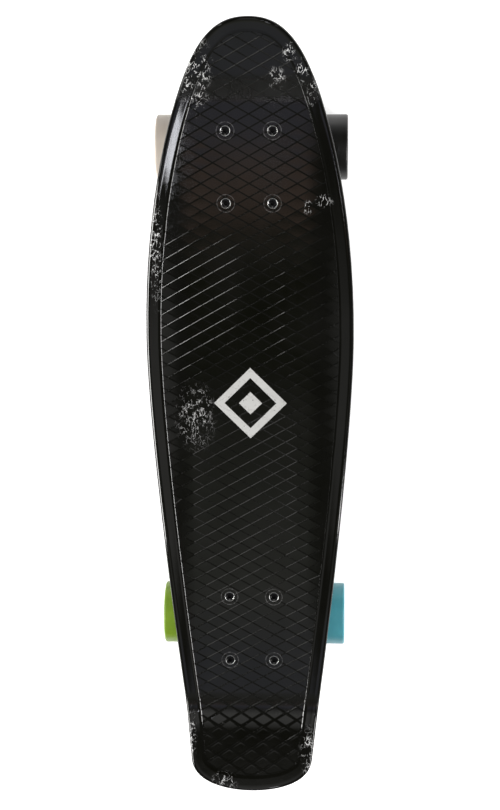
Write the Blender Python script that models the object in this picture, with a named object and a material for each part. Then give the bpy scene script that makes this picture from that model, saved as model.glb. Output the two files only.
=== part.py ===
# Plastic cruiser skateboard: moulded waffle-top deck, two trucks, four wheels on sealed bearings.
# Metres. +Z up, +Y towards the nose, +X to the rider's right. The wheels touch z = 0.

import math

import bmesh
import bpy
from mathutils import Matrix, Vector
from mathutils.geometry import interpolate_bezier

# Clearances and tolerances
SEAT_GAP = 0.0003
MERGE_DISTANCE = 1e-6
CUT_BEYOND = 0.001
BOLT_CHAMFER = 0.0008
SHARP_ANGLE = math.radians(35)

# Deck outline, half of it, measured from the middle of the length
DECK_LENGTH = 0.712
DECK_WIDTH = 0.1862
WIDEST_Y = 0.073
NOSE_SHOULDER_X = 0.050
NOSE_SHOULDER_BACK = 0.0366
NOSE_SHOULDER_SLOPE = 0.50
NOSE_TIP_HANDLE = 0.0165
NOSE_CAP_HANDLE = 0.035
NOSE_SIDE_HANDLE = 0.036
FRONT_WAIST_HANDLE = 0.127
REAR_WAIST_HANDLE = 0.092
TAIL_CORNER_X = 0.057
TAIL_CORNER_BACK = 0.0262
TAIL_SIDE_SLOPE = 0.13
TAIL_SIDE_HANDLE = 0.100
TAIL_CORNER_HANDLE = 0.024
TAIL_END_HANDLE = 0.014
NOSE_CAP_STEPS = 7
NOSE_SIDE_STEPS = 6
WAIST_STEPS = 9
TAIL_CORNER_STEPS = 6

# Deck section
RIM_THICKNESS = 0.012
SKIN_THICKNESS = 0.0046
RIM_ROUND_TOP = 0.003
RIM_TOP_STEPS = 2
RIM_ROUND_BOTTOM = 0.0024
RIM_BOTTOM_STEPS = 1
BORDER_WIDTH = 0.013
CONCAVE_RISE = 0.0045
FLAT_HALF_WIDTH = 0.032

# Upturned ends, each starting this far outside its truck's bolt centre
NOSE_START = 0.058
NOSE_ANGLE = math.radians(10)
NOSE_BEND_RADIUS = 0.120
TAIL_START = 0.066
TAIL_ANGLE = math.radians(27)
TAIL_BEND_RADIUS = 0.070
BEND_STEPS = 3

# Waffle tread: lozenges with raised edges
LOZENGE_X = 0.0212
LOZENGE_Y = 0.0121
LOZENGE_DEPTH = 0.0008
LOZENGE_SNAP = 0.0009
LOZENGE_LEAST_SHARE = 0.9

# Ribs under the deck
RIB_WIDTH = 0.003
RIB_DRAFT = 0.0006
RIB_PITCH_X = 0.043
RIB_PITCH_Y = 0.054
UNDER_RAIL = 0.009
PAD_HALF_LENGTH = 0.058
SEAT_MARGIN = 0.0005
SEAT_RISE = 0.0005
LEAST_POCKET = 0.00035

# Truck places
NOSE_TO_BOLTS = 0.130
TAIL_TO_BOLTS = 0.150
TRUCK_HEIGHT = 0.056
AXLE_OUTWARD = 0.010
BOLT_SPACING_X = 0.0413
BOLT_SPACING_Y = 0.0635

# Mounting bolts and nuts
BOLT_RADIUS = 0.0024
BOLT_HEAD_RADIUS = 0.0048
BOLT_HEAD_DEPTH = 0.0026
BOLT_LENGTH = 0.0254
BOLT_NUT_FLATS = 0.0095
BOLT_NUT_HEIGHT = 0.004

# Baseplate
PLATE_WIDTH = 0.056
PLATE_LENGTH = 0.086
PLATE_THICKNESS = 0.005
PLATE_CORNER = 0.008
KINGPIN_BOSS_RADIUS = 0.0135
KINGPIN_BOSS_FLARE = 0.003
PIVOT_BOSS_RADIUS = 0.0110
PIVOT_BOSS_BACK = 0.0110
PIVOT_BOSS_FRONT = 0.0070
PIVOT_BOSS_CHAMFER = 0.002

# Kingpin and bushings, stacked along the kingpin from its seat under the baseplate
KINGPIN_LEAN = math.radians(20)
KINGPIN_SEAT_Y = -0.008
KINGPIN_SEAT_DROP = 0.013
KINGPIN_RADIUS = 0.00475
KINGPIN_HEAD_FLATS = 0.0140
KINGPIN_HEAD_HEIGHT = 0.0055
KINGPIN_HEAD_SUNK = 0.0032
KINGPIN_TAIL = 0.0022
BOARD_WASHER_RADIUS = 0.0118
ROAD_WASHER_RADIUS = 0.0102
WASHER_THICKNESS = 0.0015
BUSHING_RADIUS = 0.0115
BUSHING_ROUND = 0.0012
BOARD_BUSHING_HEIGHT = 0.015
ROAD_BUSHING_HEIGHT = 0.010
ROAD_BUSHING_END_RADIUS = 0.0095
KINGPIN_NUT_FLATS = 0.0143
KINGPIN_NUT_HEIGHT = 0.0072

# Hanger
RING_RADIUS = 0.0160
RING_THICKNESS = 0.008
RING_BORE_RADIUS = 0.0063
HANGER_LENGTH = 0.1016
TUBE_RADIUS = 0.0095
TUBE_END_RADIUS = 0.0070
TUBE_TAPER_START = 0.036
WING_HALF_TOP = 0.0115
WING_HALF_BOTTOM = 0.038
ARM_RADIUS = 0.0068
ARM_LENGTH = 0.033
SPINE_HALF = 0.0060
ARM_END_TAPER = 0.004
SPINE_FROM_PIVOT = 0.016
SPINE_INTO_ARM = 0.6
WEB_INTO_RING = 0.003
WEB_SHOULDER = 0.0006
WEB_ON_TUBE = 0.75

# Pivot
PIVOT_Y = 0.027
PIVOT_DROP = 0.011
PIVOT_ANGLE = math.radians(45)
PIVOT_NOSE_RADIUS = 0.0060
PIVOT_NOSE_STEPS = 3
PIVOT_NECK_RADIUS = 0.0054
PIVOT_NECK_FLARE = 0.008
PIVOT_PLAY = 0.0004
PIVOT_CUP_WALL = 0.0020
PIVOT_CUP_CORNER = 0.8

# Axle line, from the end of the hanger outwards
AXLE_RADIUS = 0.0039
AXLE_PAST_NUT = 0.0012
SPEED_WASHER_RADIUS = 0.0062
SPEED_WASHER_THICKNESS = 0.0010
BEARING_RADIUS = 0.0110
BEARING_WIDTH = 0.0070
OUTER_RACE_INSIDE = 0.0096
INNER_RACE_OUTSIDE = 0.0060
SEAL_INSET = 0.0004
SEAL_LIP_GAP = 0.00045
SPACER_LENGTH = 0.0103
SPACER_RADIUS = 0.0055
AXLE_NUT_FLATS = 0.0127
AXLE_NUT_HEIGHT = 0.0065

# Wheels
WHEEL_RADIUS = 0.0295
WHEEL_WIDTH = 0.045
WHEEL_LIP_ROUND = 0.0018
WHEEL_LIP_RADIUS = 0.0205
WHEEL_CORE_INSIDE = 0.0090
WHEEL_SEAT_DEPTH = 0.0008

# Round pieces
WHEEL_SIDES = 24
ROUND_SIDES = 16
SMALL_SIDES = 12
BEARING_SIDES = 10

# Worked out from the sizes above
FRONT_BOLT_CENTRE_Y = DECK_LENGTH / 2 - NOSE_TO_BOLTS
REAR_BOLT_CENTRE_Y = TAIL_TO_BOLTS - DECK_LENGTH / 2
DECK_UNDERSIDE_Z = WHEEL_RADIUS + TRUCK_HEIGHT
DECK_TOP_Z = DECK_UNDERSIDE_Z + RIM_THICKNESS
POCKET_DEPTH = RIM_THICKNESS - SKIN_THICKNESS
AXLE_POINT = Vector((0, AXLE_OUTWARD, -TRUCK_HEIGHT))
PIVOT_POINT = Vector((0, PIVOT_Y, -PIVOT_DROP))
PIVOT_IN = Vector((0, -math.cos(PIVOT_ANGLE), -math.sin(PIVOT_ANGLE)))
KINGPIN_DOWN = Vector((0, -math.sin(KINGPIN_LEAN), -math.cos(KINGPIN_LEAN)))
KINGPIN_SEAT = Vector((0, KINGPIN_SEAT_Y, -KINGPIN_SEAT_DROP))
BOARD_WASHER_AT = SEAT_GAP
BOARD_BUSHING_AT = BOARD_WASHER_AT + WASHER_THICKNESS + SEAT_GAP
RING_AT = BOARD_BUSHING_AT + BOARD_BUSHING_HEIGHT + SEAT_GAP
ROAD_BUSHING_AT = RING_AT + RING_THICKNESS + SEAT_GAP
ROAD_WASHER_AT = ROAD_BUSHING_AT + ROAD_BUSHING_HEIGHT + SEAT_GAP
KINGPIN_NUT_AT = ROAD_WASHER_AT + WASHER_THICKNESS + SEAT_GAP
KINGPIN_END_AT = KINGPIN_NUT_AT + KINGPIN_NUT_HEIGHT + KINGPIN_TAIL
RING_POINT = KINGPIN_SEAT + KINGPIN_DOWN * (RING_AT + RING_THICKNESS / 2)
SPACER_HALF = SPACER_LENGTH / 2
BEARING_OUTSIDE = SPACER_HALF + BEARING_WIDTH
CORE_HALF = BEARING_OUTSIDE + SPEED_WASHER_THICKNESS
WHEEL_X = HANGER_LENGTH / 2 + SEAT_GAP + CORE_HALF
AXLE_END_X = WHEEL_X + CORE_HALF + SEAT_GAP + AXLE_NUT_HEIGHT + AXLE_PAST_NUT


def clear_scene():
    for obj in list(bpy.data.objects):
        bpy.data.objects.remove(obj, do_unlink=True)


def material(name, colour, roughness, metallic=0.0):
    mat = bpy.data.materials.get(name)
    if mat:
        return mat
    mat = bpy.data.materials.new(name)
    mat.use_nodes = True
    shader = mat.node_tree.nodes["Principled BSDF"]
    shader.inputs["Base Color"].default_value = (*colour, 1.0)
    shader.inputs["Roughness"].default_value = roughness
    shader.inputs["Metallic"].default_value = metallic
    return mat


def deck_plastic():
    return material("deck_plastic", (0.010, 0.010, 0.009), 0.36)


def cast_aluminium():
    return material("cast_aluminium", (0.52, 0.53, 0.54), 0.38, 1.0)


def zinc_steel():
    return material("zinc_steel", (0.62, 0.62, 0.60), 0.28, 1.0)


def black_zinc():
    return material("black_zinc", (0.030, 0.030, 0.031), 0.32, 0.6)


def bearing_steel():
    return material("bearing_steel", (0.70, 0.70, 0.70), 0.18, 1.0)


def bushing_urethane():
    return material("bushing_urethane", (0.03, 0.03, 0.03), 0.45)


def cup_nylon():
    return material("cup_nylon", (0.05, 0.05, 0.05), 0.5)


def cream_urethane():
    return material("cream_urethane", (0.46, 0.41, 0.35), 0.35)


def black_urethane():
    return material("black_urethane", (0.02, 0.02, 0.018), 0.35)


def lime_urethane():
    return material("lime_urethane", (0.18, 0.28, 0.035), 0.35)


def teal_urethane():
    return material("teal_urethane", (0.102, 0.314, 0.362), 0.35)


def empty(name, parent, location, turn=0.0):
    guide = bpy.data.objects.new(name, None)
    guide.empty_display_size = 0.02
    guide.parent = parent
    guide.location = location
    guide.rotation_euler = (0, 0, turn)
    bpy.context.collection.objects.link(guide)
    return guide


def piece(name, mesh, mat, parent=None, location=(0, 0, 0)):
    mesh.materials.clear()
    mesh.materials.append(mat)
    obj = bpy.data.objects.new(name, mesh)
    obj.parent = parent
    obj.location = location
    bpy.context.collection.objects.link(obj)
    return obj


def finished(bm, name):
    bmesh.ops.recalc_face_normals(bm, faces=bm.faces)
    mesh = bpy.data.meshes.new(name)
    bm.to_mesh(mesh)
    bm.free()
    mesh.shade_smooth()
    mesh.set_sharp_from_angle(angle=SHARP_ANGLE)
    return mesh


def turned(section, sides, hexed=()):
    # Turns a half section of (radius, height) points round Z. A section that starts and ends on the
    # axis gives a solid, and any other is closed to a ring. Points in hexed lie on a hexagon instead.
    bm = bmesh.new()
    rings = [bm.verts.new((radius, 0, height)) for radius, height in section]
    edges = [bm.edges.new(pair) for pair in zip(rings, rings[1:])]
    if section[0][0] > 0:
        edges.append(bm.edges.new((rings[-1], rings[0])))
    bmesh.ops.spin(bm, geom=rings + edges, cent=(0, 0, 0), axis=(0, 0, 1),
                   angle=math.tau, steps=sides, use_merge=True)
    bmesh.ops.remove_doubles(bm, verts=bm.verts, dist=MERGE_DISTANCE)
    flats = [section[i] for i in hexed]
    for vert in bm.verts:
        reach = math.hypot(vert.co.x, vert.co.y)
        off = [math.hypot(reach - radius, vert.co.z - height) for radius, height in flats]
        if min(off, default=1.0) < MERGE_DISTANCE:
            around = math.atan2(vert.co.y, vert.co.x) + math.pi / 6
            off_flat = around % (math.pi / 3) - math.pi / 6
            vert.co.xy *= 1 / math.cos(off_flat)
    bmesh.ops.recalc_face_normals(bm, faces=bm.faces)
    return bm


def rod(radius, low, high):
    return turned([(0, low), (radius, low), (radius, high), (0, high)], SMALL_SIDES)


def ring(inside, outside, low, high, sides):
    return turned([(outside, low), (outside, high), (inside, high), (inside, low)], sides)


def moved(bm, matrix):
    bmesh.ops.transform(bm, matrix=matrix, verts=bm.verts)
    return bm


def facing(direction, point=(0, 0, 0)):
    # A matrix that carries +Z onto the direction, keeping X across the board
    z = Vector(direction).normalized()
    x = Vector((1, 0, 0)) if abs(z.x) < 0.9 else Vector((0, 1, 0))
    y = z.cross(x).normalized()
    x = y.cross(z)
    turn = Matrix((x, y, z)).transposed().to_4x4()
    return Matrix.Translation(point) @ turn


def prism(outline, low, high):
    bm = bmesh.new()
    face = bm.faces.new([bm.verts.new((x, y, low)) for x, y in outline])
    made = bmesh.ops.extrude_face_region(bm, geom=[face])["geom"]
    tops = [item for item in made if isinstance(item, bmesh.types.BMVert)]
    bmesh.ops.translate(bm, verts=tops, vec=(0, 0, high - low))
    bmesh.ops.recalc_face_normals(bm, faces=bm.faces)
    return bm


def rounded_box(width, length, corner, steps):
    # A rectangle's outline with round corners, anticlockwise
    points = []
    for quarter, (sx, sy) in enumerate([(1, 1), (-1, 1), (-1, -1), (1, -1)]):
        centre = (sx * (width / 2 - corner), sy * (length / 2 - corner))
        for step in range(steps + 1):
            angle = (quarter + step / steps) * math.pi / 2
            points.append((centre[0] + corner * math.cos(angle), centre[1] + corner * math.sin(angle)))
    return points


def carved(name, base, added=(), removed=()):
    # Joins and cuts bmeshes with exact Booleans and gives the finished mesh
    tools = []
    body = bpy.data.objects.new(name + "_blank", finished(base, name + "_blank"))
    bpy.context.collection.objects.link(body)
    for operation, solids in (("UNION", added), ("DIFFERENCE", removed)):
        for solid in solids:
            tool = bpy.data.objects.new(name + "_tool", finished(solid, name + "_tool"))
            tool.hide_render = True
            tool.display_type = "WIRE"
            bpy.context.collection.objects.link(tool)
            step = body.modifiers.new(operation.lower(), "BOOLEAN")
            step.operation = operation
            step.solver = "EXACT"
            step.object = tool
            tools.append(tool)
    graph = bpy.context.evaluated_depsgraph_get()
    mesh = bpy.data.meshes.new_from_object(body.evaluated_get(graph))
    for obj in [body] + tools:
        bpy.data.objects.remove(obj, do_unlink=True)
    mesh.name = name
    mesh.shade_smooth()
    mesh.set_sharp_from_angle(angle=SHARP_ANGLE)
    return mesh


def half_outline():
    # The right-hand edge from the nose tip to the middle of the tail
    half = DECK_LENGTH / 2
    tip = Vector((0, half))
    shoulder = Vector((NOSE_SHOULDER_X, half - NOSE_SHOULDER_BACK))
    widest = Vector((DECK_WIDTH / 2, WIDEST_Y))
    corner = Vector((TAIL_CORNER_X, TAIL_CORNER_BACK - half))
    end = Vector((0, -half))
    back_out = Vector((NOSE_SHOULDER_SLOPE, -1)).normalized()
    back_in = Vector((-TAIL_SIDE_SLOPE, -1)).normalized()
    stretches = [
        (tip, tip + Vector((NOSE_TIP_HANDLE, 0)), shoulder - back_out * NOSE_CAP_HANDLE, shoulder,
         NOSE_CAP_STEPS),
        (shoulder, shoulder + back_out * NOSE_SIDE_HANDLE, widest + Vector((0, FRONT_WAIST_HANDLE)),
         widest, NOSE_SIDE_STEPS),
        (widest, widest - Vector((0, REAR_WAIST_HANDLE)), corner - back_in * TAIL_SIDE_HANDLE, corner,
         WAIST_STEPS),
        (corner, corner + back_in * TAIL_CORNER_HANDLE, end + Vector((TAIL_END_HANDLE, 0)), end,
         TAIL_CORNER_STEPS),
    ]
    points = []
    for start, handle, other, stop, steps in stretches:
        curve = interpolate_bezier(start.to_3d(), handle.to_3d(), other.to_3d(), stop.to_3d(), steps + 1)
        points += [point.to_2d() for point in curve[:-1]]
    points.append(end)
    return points


def deck_outline():
    right = half_outline()
    left = [Vector((-point.x, point.y)) for point in reversed(right[1:-1])]
    return right + left


def upturn(distance, radius, angle):
    # Height gained this far past the start of a bend that runs on as a straight slope
    if distance <= 0:
        return 0.0
    bend = radius * math.sin(angle)
    if distance < bend:
        return radius - math.sqrt(radius * radius - distance * distance)
    return radius * (1 - math.cos(angle)) + (distance - bend) * math.tan(angle)


def deck_rise(x, y):
    nose = upturn(y - FRONT_BOLT_CENTRE_Y - NOSE_START, NOSE_BEND_RADIUS, NOSE_ANGLE)
    tail = upturn(REAR_BOLT_CENTRE_Y - TAIL_START - y, TAIL_BEND_RADIUS, TAIL_ANGLE)
    past_flat = max(0.0, abs(x) - FLAT_HALF_WIDTH) / (DECK_WIDTH / 2 - FLAT_HALF_WIDTH)
    return nose + tail + CONCAVE_RISE * past_flat ** 2


def with_parts(faces):
    edges = {edge for face in faces for edge in face.edges}
    verts = {vert for face in faces for vert in face.verts}
    return list(faces) + list(edges) + list(verts)


def slice_zone(bm, wanted, point, normal, snap=MERGE_DISTANCE):
    faces = [face for face in bm.faces if wanted(face)]
    bmesh.ops.bisect_plane(bm, geom=with_parts(faces), dist=snap, plane_co=point, plane_no=normal)


def stations(reach, pitch, start=0.0):
    # Evenly spaced places either side of start, inside the reach
    count = int((reach + abs(start)) / pitch) + 1
    return [start + i * pitch for i in range(-count, count + 1) if abs(start + i * pitch) < reach]


def edge_face(bm, up):
    return max(bm.faces, key=lambda face: face.normal.z * (1 if up else -1) * face.calc_area())


def deck_blank():
    # The blank, with layers that mark the faces of the tread and of the underside inside the rail
    bm = prism(deck_outline(), -RIM_THICKNESS, 0)
    rounds = ((True, RIM_ROUND_TOP, RIM_TOP_STEPS), (False, RIM_ROUND_BOTTOM, RIM_BOTTOM_STEPS))
    for up, width, segments in rounds:
        rim = edge_face(bm, up).edges
        bmesh.ops.bevel(bm, geom=list(rim), offset=width, offset_type="OFFSET", segments=segments,
                        profile=0.5, affect="EDGES")
    tread = bm.faces.layers.bool.new("tread")
    under = bm.faces.layers.bool.new("under")
    bmesh.ops.inset_region(bm, faces=[edge_face(bm, True)], thickness=BORDER_WIDTH - RIM_ROUND_TOP,
                           use_even_offset=True)
    edge_face(bm, True)[tread] = True
    bmesh.ops.inset_region(bm, faces=[edge_face(bm, False)], thickness=UNDER_RAIL - RIM_ROUND_BOTTOM,
                           use_even_offset=True)
    edge_face(bm, False)[under] = True
    return bm, tread, under


def rib_stations():
    # Places of the cross ribs: round the solid pads over the trucks, and spread evenly between
    half = DECK_LENGTH / 2
    front = (FRONT_BOLT_CENTRE_Y - PAD_HALF_LENGTH, FRONT_BOLT_CENTRE_Y + PAD_HALF_LENGTH)
    rear = (REAR_BOLT_CENTRE_Y - PAD_HALF_LENGTH, REAR_BOLT_CENTRE_Y + PAD_HALF_LENGTH)
    tail_start = REAR_BOLT_CENTRE_Y - TAIL_START
    places = [front[0], front[1], rear[0], rear[1], tail_start]
    for low, high in ((rear[1], front[0]), (front[1], half), (-half, tail_start)):
        count = max(1, round((high - low) / RIB_PITCH_Y))
        places += [low + (high - low) * i / count for i in range(1, count)]
    return places


def over_truck(y):
    tail_start = REAR_BOLT_CENTRE_Y - TAIL_START
    front = abs(y - FRONT_BOLT_CENTRE_Y) < PAD_HALF_LENGTH
    rear = tail_start < y < REAR_BOLT_CENTRE_Y + PAD_HALF_LENGTH
    return front or rear


def cut_pockets(bm, under):
    for y in rib_stations():
        slice_zone(bm, lambda face: face[under], (0, y, 0), (0, 1, 0))
    for x in stations(DECK_WIDTH / 2, RIB_PITCH_X):
        slice_zone(bm, lambda face: face[under], (x, 0, 0), (1, 0, 0))
    cells = []
    for face in bm.faces:
        if face[under] and not over_truck(face.calc_center_median().y) and face.calc_area() > LEAST_POCKET:
            cells.append(face)
    bmesh.ops.inset_individual(bm, faces=cells, thickness=RIB_WIDTH / 2, use_even_offset=True)
    bmesh.ops.inset_individual(bm, faces=cells, thickness=RIB_DRAFT, depth=-POCKET_DEPTH,
                               use_even_offset=True)


def raise_seats(bm, under):
    # The flat over each truck carries the baseplate, and the strips past the plate's ends lie deeper
    flat = lambda face: face[under] and over_truck(face.calc_center_median().y)
    for x in (-FLAT_HALF_WIDTH, FLAT_HALF_WIDTH):
        slice_zone(bm, flat, (x, 0, 0), (1, 0, 0))
    plate_edge = PLATE_LENGTH / 2 + SEAT_MARGIN
    strips = []
    for centre_y in (FRONT_BOLT_CENTRE_Y, REAR_BOLT_CENTRE_Y):
        for y in (centre_y - plate_edge, centre_y + plate_edge):
            slice_zone(bm, flat, (0, y, 0), (0, 1, 0))
    for face in bm.faces:
        middle = face.calc_center_median()
        off = min(abs(middle.y - FRONT_BOLT_CENTRE_Y), abs(middle.y - REAR_BOLT_CENTRE_Y))
        if flat(face) and abs(middle.x) < FLAT_HALF_WIDTH and plate_edge < off < PAD_HALF_LENGTH:
            strips.append(face)
    bmesh.ops.inset_region(bm, faces=strips, thickness=RIB_DRAFT, depth=-SEAT_RISE, use_even_offset=True)


def cut_bends(bm, tread):
    # Extra stations where the ends turn up, so that rim, rail and ribs follow the curve
    plain = lambda face: not face[tread]
    nose_start = FRONT_BOLT_CENTRE_Y + NOSE_START
    tail_start = REAR_BOLT_CENTRE_Y - TAIL_START
    for step in range(BEND_STEPS + 1):
        nose_y = nose_start + NOSE_BEND_RADIUS * math.sin(NOSE_ANGLE) * step / BEND_STEPS
        tail_y = tail_start - TAIL_BEND_RADIUS * math.sin(TAIL_ANGLE) * step / BEND_STEPS
        slice_zone(bm, plain, (0, nose_y, 0), (0, 1, 0))
        slice_zone(bm, plain, (0, tail_y, 0), (0, 1, 0))


def press_tread(bm, tread):
    # Two families of lines make the lozenges, and each whole lozenge is sunk in its middle
    slope = LOZENGE_Y / LOZENGE_X
    reach = DECK_LENGTH / 2 + DECK_WIDTH / 2 * slope
    for lean in (slope, -slope):
        for y in stations(reach, LOZENGE_Y, LOZENGE_Y / 2):
            slice_zone(bm, lambda face: face[tread], (0, y, 0), (-lean, 1, 0), LOZENGE_SNAP)
    whole = LOZENGE_LEAST_SHARE * LOZENGE_X * LOZENGE_Y / 2
    cells = [face for face in bm.faces if face[tread] and len(face.verts) == 4 and face.calc_area() > whole]
    bmesh.ops.poke(bm, faces=cells, offset=-LOZENGE_DEPTH, center_mode="MEAN")


def bolt_places(centre_y):
    return [(sx * BOLT_SPACING_X / 2, centre_y + sy * BOLT_SPACING_Y / 2)
            for sx in (-1, 1) for sy in (-1, 1)]


def bolt_hole():
    # Countersunk through hole, its top at z = 0
    bore = BOLT_RADIUS + SEAT_GAP
    mouth = BOLT_HEAD_RADIUS + SEAT_GAP
    low = -RIM_THICKNESS - CUT_BEYOND
    section = [(0, low), (bore, low), (bore, -BOLT_HEAD_DEPTH), (mouth, 0), (mouth, CUT_BEYOND),
               (0, CUT_BEYOND)]
    return turned(section, SMALL_SIDES)


def flatten_tread(mesh):
    # The lozenges keep crisp edges, and the rim round them stays smooth
    treads = mesh.attributes["tread"].data
    for face in mesh.polygons:
        face.use_smooth = not treads[face.index].value


def make_deck():
    bm, tread, under = deck_blank()
    cut_pockets(bm, under)
    raise_seats(bm, under)
    cut_bends(bm, tread)
    press_tread(bm, tread)
    for vert in bm.verts:
        vert.co.z += DECK_TOP_Z + deck_rise(vert.co.x, vert.co.y)
    holes = []
    for centre_y in (FRONT_BOLT_CENTRE_Y, REAR_BOLT_CENTRE_Y):
        for x, y in bolt_places(centre_y):
            holes.append(moved(bolt_hole(), Matrix.Translation((x, y, DECK_TOP_Z))))
    mesh = carved("deck", bm, removed=holes)
    flatten_tread(mesh)
    return piece("deck", mesh, deck_plastic())


def mount_bolt_mesh():
    # Countersunk head, its top a hair under z = 0
    cone = BOLT_HEAD_DEPTH + SEAT_GAP
    section = [(0, -BOLT_LENGTH), (BOLT_RADIUS, -BOLT_LENGTH), (BOLT_RADIUS, -cone),
               (BOLT_HEAD_RADIUS, -SEAT_GAP), (0, -SEAT_GAP)]
    return finished(turned(section, SMALL_SIDES), "mount_bolt")


def hex_nut(flats, bore, height):
    section = [(flats / 2, 0), (flats / 2, height), (bore, height), (bore, 0)]
    return turned(section, SMALL_SIDES, hexed=(0, 1))


def make_mounting_hardware(end, centre_y):
    nut_z = DECK_UNDERSIDE_Z - PLATE_THICKNESS - 2 * SEAT_GAP - BOLT_NUT_HEIGHT
    bolt = mount_bolt_mesh()
    nut = finished(hex_nut(BOLT_NUT_FLATS, BOLT_RADIUS + SEAT_GAP, BOLT_NUT_HEIGHT), "mount_nut")
    for i, (x, y) in enumerate(bolt_places(centre_y), 1):
        piece(f"{end}_mount_bolt_{i}", bolt, black_zinc(), None, (x, y, DECK_TOP_Z))
        piece(f"{end}_mount_nut_{i}", nut, zinc_steel(), None, (x, y, nut_z))


def baseplate_mesh():
    # In the truck's own frame: z = 0 is the underside of the deck, +Y points to the board's end
    top = -SEAT_GAP
    bottom = top - PLATE_THICKNESS
    plate = prism(rounded_box(PLATE_WIDTH, PLATE_LENGTH, PLATE_CORNER, 3), bottom, top)
    boss_start = kingpin_head_at() - PLATE_THICKNESS - KINGPIN_BOSS_RADIUS * math.tan(KINGPIN_LEAN)
    base_radius = KINGPIN_BOSS_RADIUS + KINGPIN_BOSS_FLARE
    boss = turned([(0, boss_start), (base_radius, boss_start), (base_radius, -PLATE_THICKNESS),
                   (KINGPIN_BOSS_RADIUS, 0), (0, 0)], ROUND_SIDES)
    moved(boss, facing(KINGPIN_DOWN, KINGPIN_SEAT))
    house = turned([(0, -PIVOT_BOSS_BACK), (PIVOT_BOSS_RADIUS - PIVOT_BOSS_CHAMFER, -PIVOT_BOSS_BACK),
                    (PIVOT_BOSS_RADIUS, -PIVOT_BOSS_BACK + PIVOT_BOSS_CHAMFER),
                    (PIVOT_BOSS_RADIUS, PIVOT_BOSS_FRONT), (0, PIVOT_BOSS_FRONT)], ROUND_SIDES)
    moved(house, facing(PIVOT_IN, PIVOT_POINT))
    above = prism(rounded_box(PLATE_WIDTH, PLATE_LENGTH, PLATE_CORNER, 1), top, top + PLATE_WIDTH)
    cuts = [above]
    for x, y in bolt_places(0):
        hole = rod(BOLT_RADIUS + SEAT_GAP, bottom - CUT_BEYOND, top + CUT_BEYOND)
        cuts.append(moved(hole, Matrix.Translation((x, y, 0))))
    shaft = KINGPIN_RADIUS + SEAT_GAP
    pocket = KINGPIN_HEAD_FLATS / 2 + SEAT_GAP
    floor = kingpin_head_at() + KINGPIN_HEAD_HEIGHT + SEAT_GAP
    bore = turned([(0, boss_start), (pocket, boss_start), (pocket, floor), (shaft, floor),
                   (shaft, CUT_BEYOND), (0, CUT_BEYOND)], SMALL_SIDES, hexed=(1, 2))
    cuts.append(moved(bore, facing(KINGPIN_DOWN, KINGPIN_SEAT)))
    socket = pivot_cup_outside() + SEAT_GAP
    mouth = PIVOT_BOSS_FRONT + CUT_BEYOND
    cup_bore = turned([(0, -socket), (socket * PIVOT_CUP_CORNER, -socket),
                       (socket, -socket * PIVOT_CUP_CORNER), (socket, mouth), (0, mouth)], ROUND_SIDES)
    cuts.append(moved(cup_bore, facing(PIVOT_IN, PIVOT_POINT)))
    return carved("baseplate", plate, added=[boss, house], removed=cuts)


def kingpin_head_at():
    return (KINGPIN_HEAD_SUNK - KINGPIN_SEAT_DROP) / math.cos(KINGPIN_LEAN)


def pivot_cup_outside():
    return PIVOT_NOSE_RADIUS + PIVOT_PLAY + PIVOT_CUP_WALL


def pivot_cup_mesh():
    outside = pivot_cup_outside()
    inside = PIVOT_NOSE_RADIUS + PIVOT_PLAY
    mouth = PIVOT_BOSS_FRONT - SEAT_GAP
    corner = PIVOT_CUP_CORNER
    section = [(0, -outside), (outside * corner, -outside), (outside, -outside * corner),
               (outside, mouth), (inside, mouth), (inside, 0), (inside * corner, -inside * corner),
               (0, -inside)]
    bm = turned(section, ROUND_SIDES)
    return finished(moved(bm, facing(PIVOT_IN, PIVOT_POINT)), "pivot_cup")


def kingpin_mesh():
    head = kingpin_head_at()
    under_head = head + KINGPIN_HEAD_HEIGHT
    section = [(0, head), (KINGPIN_HEAD_FLATS / 2, head), (KINGPIN_HEAD_FLATS / 2, under_head),
               (KINGPIN_RADIUS, under_head), (KINGPIN_RADIUS, KINGPIN_END_AT - BOLT_CHAMFER),
               (KINGPIN_RADIUS - BOLT_CHAMFER, KINGPIN_END_AT), (0, KINGPIN_END_AT)]
    return on_kingpin(turned(section, SMALL_SIDES, hexed=(1, 2)), "kingpin")


def on_kingpin(bm, name):
    return finished(moved(bm, facing(KINGPIN_DOWN, KINGPIN_SEAT)), name)


def washer_mesh(radius, at, name):
    bore = KINGPIN_RADIUS + SEAT_GAP
    return on_kingpin(ring(bore, radius, at, at + WASHER_THICKNESS, SMALL_SIDES), name)


def bushing_mesh(at, height, far_radius, name):
    bore = KINGPIN_RADIUS + SEAT_GAP
    section = [(BUSHING_RADIUS - BUSHING_ROUND, at), (BUSHING_RADIUS, at + BUSHING_ROUND),
               (far_radius, at + height - BUSHING_ROUND), (far_radius - BUSHING_ROUND, at + height),
               (bore, at + height), (bore, at)]
    return on_kingpin(turned(section, ROUND_SIDES), name)


def kingpin_nut_mesh():
    bm = hex_nut(KINGPIN_NUT_FLATS, KINGPIN_RADIUS + SEAT_GAP, KINGPIN_NUT_HEIGHT)
    moved(bm, Matrix.Translation((0, 0, KINGPIN_NUT_AT)))
    return on_kingpin(bm, "kingpin_nut")


def slab(points, halves):
    # A closed block from a side view's points, each with its own half width across the board
    bm = bmesh.new()
    left, right = [
        [bm.verts.new((sign * half, point.y, point.z)) for point, half in zip(points, halves)]
        for sign in (-1, 1)
    ]
    bm.faces.new(left)
    bm.faces.new(list(reversed(right)))
    for i in range(len(points)):
        j = (i + 1) % len(points)
        bm.faces.new((left[i], right[i], right[j], left[j]))
    bmesh.ops.recalc_face_normals(bm, faces=bm.faces)
    return bm


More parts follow.
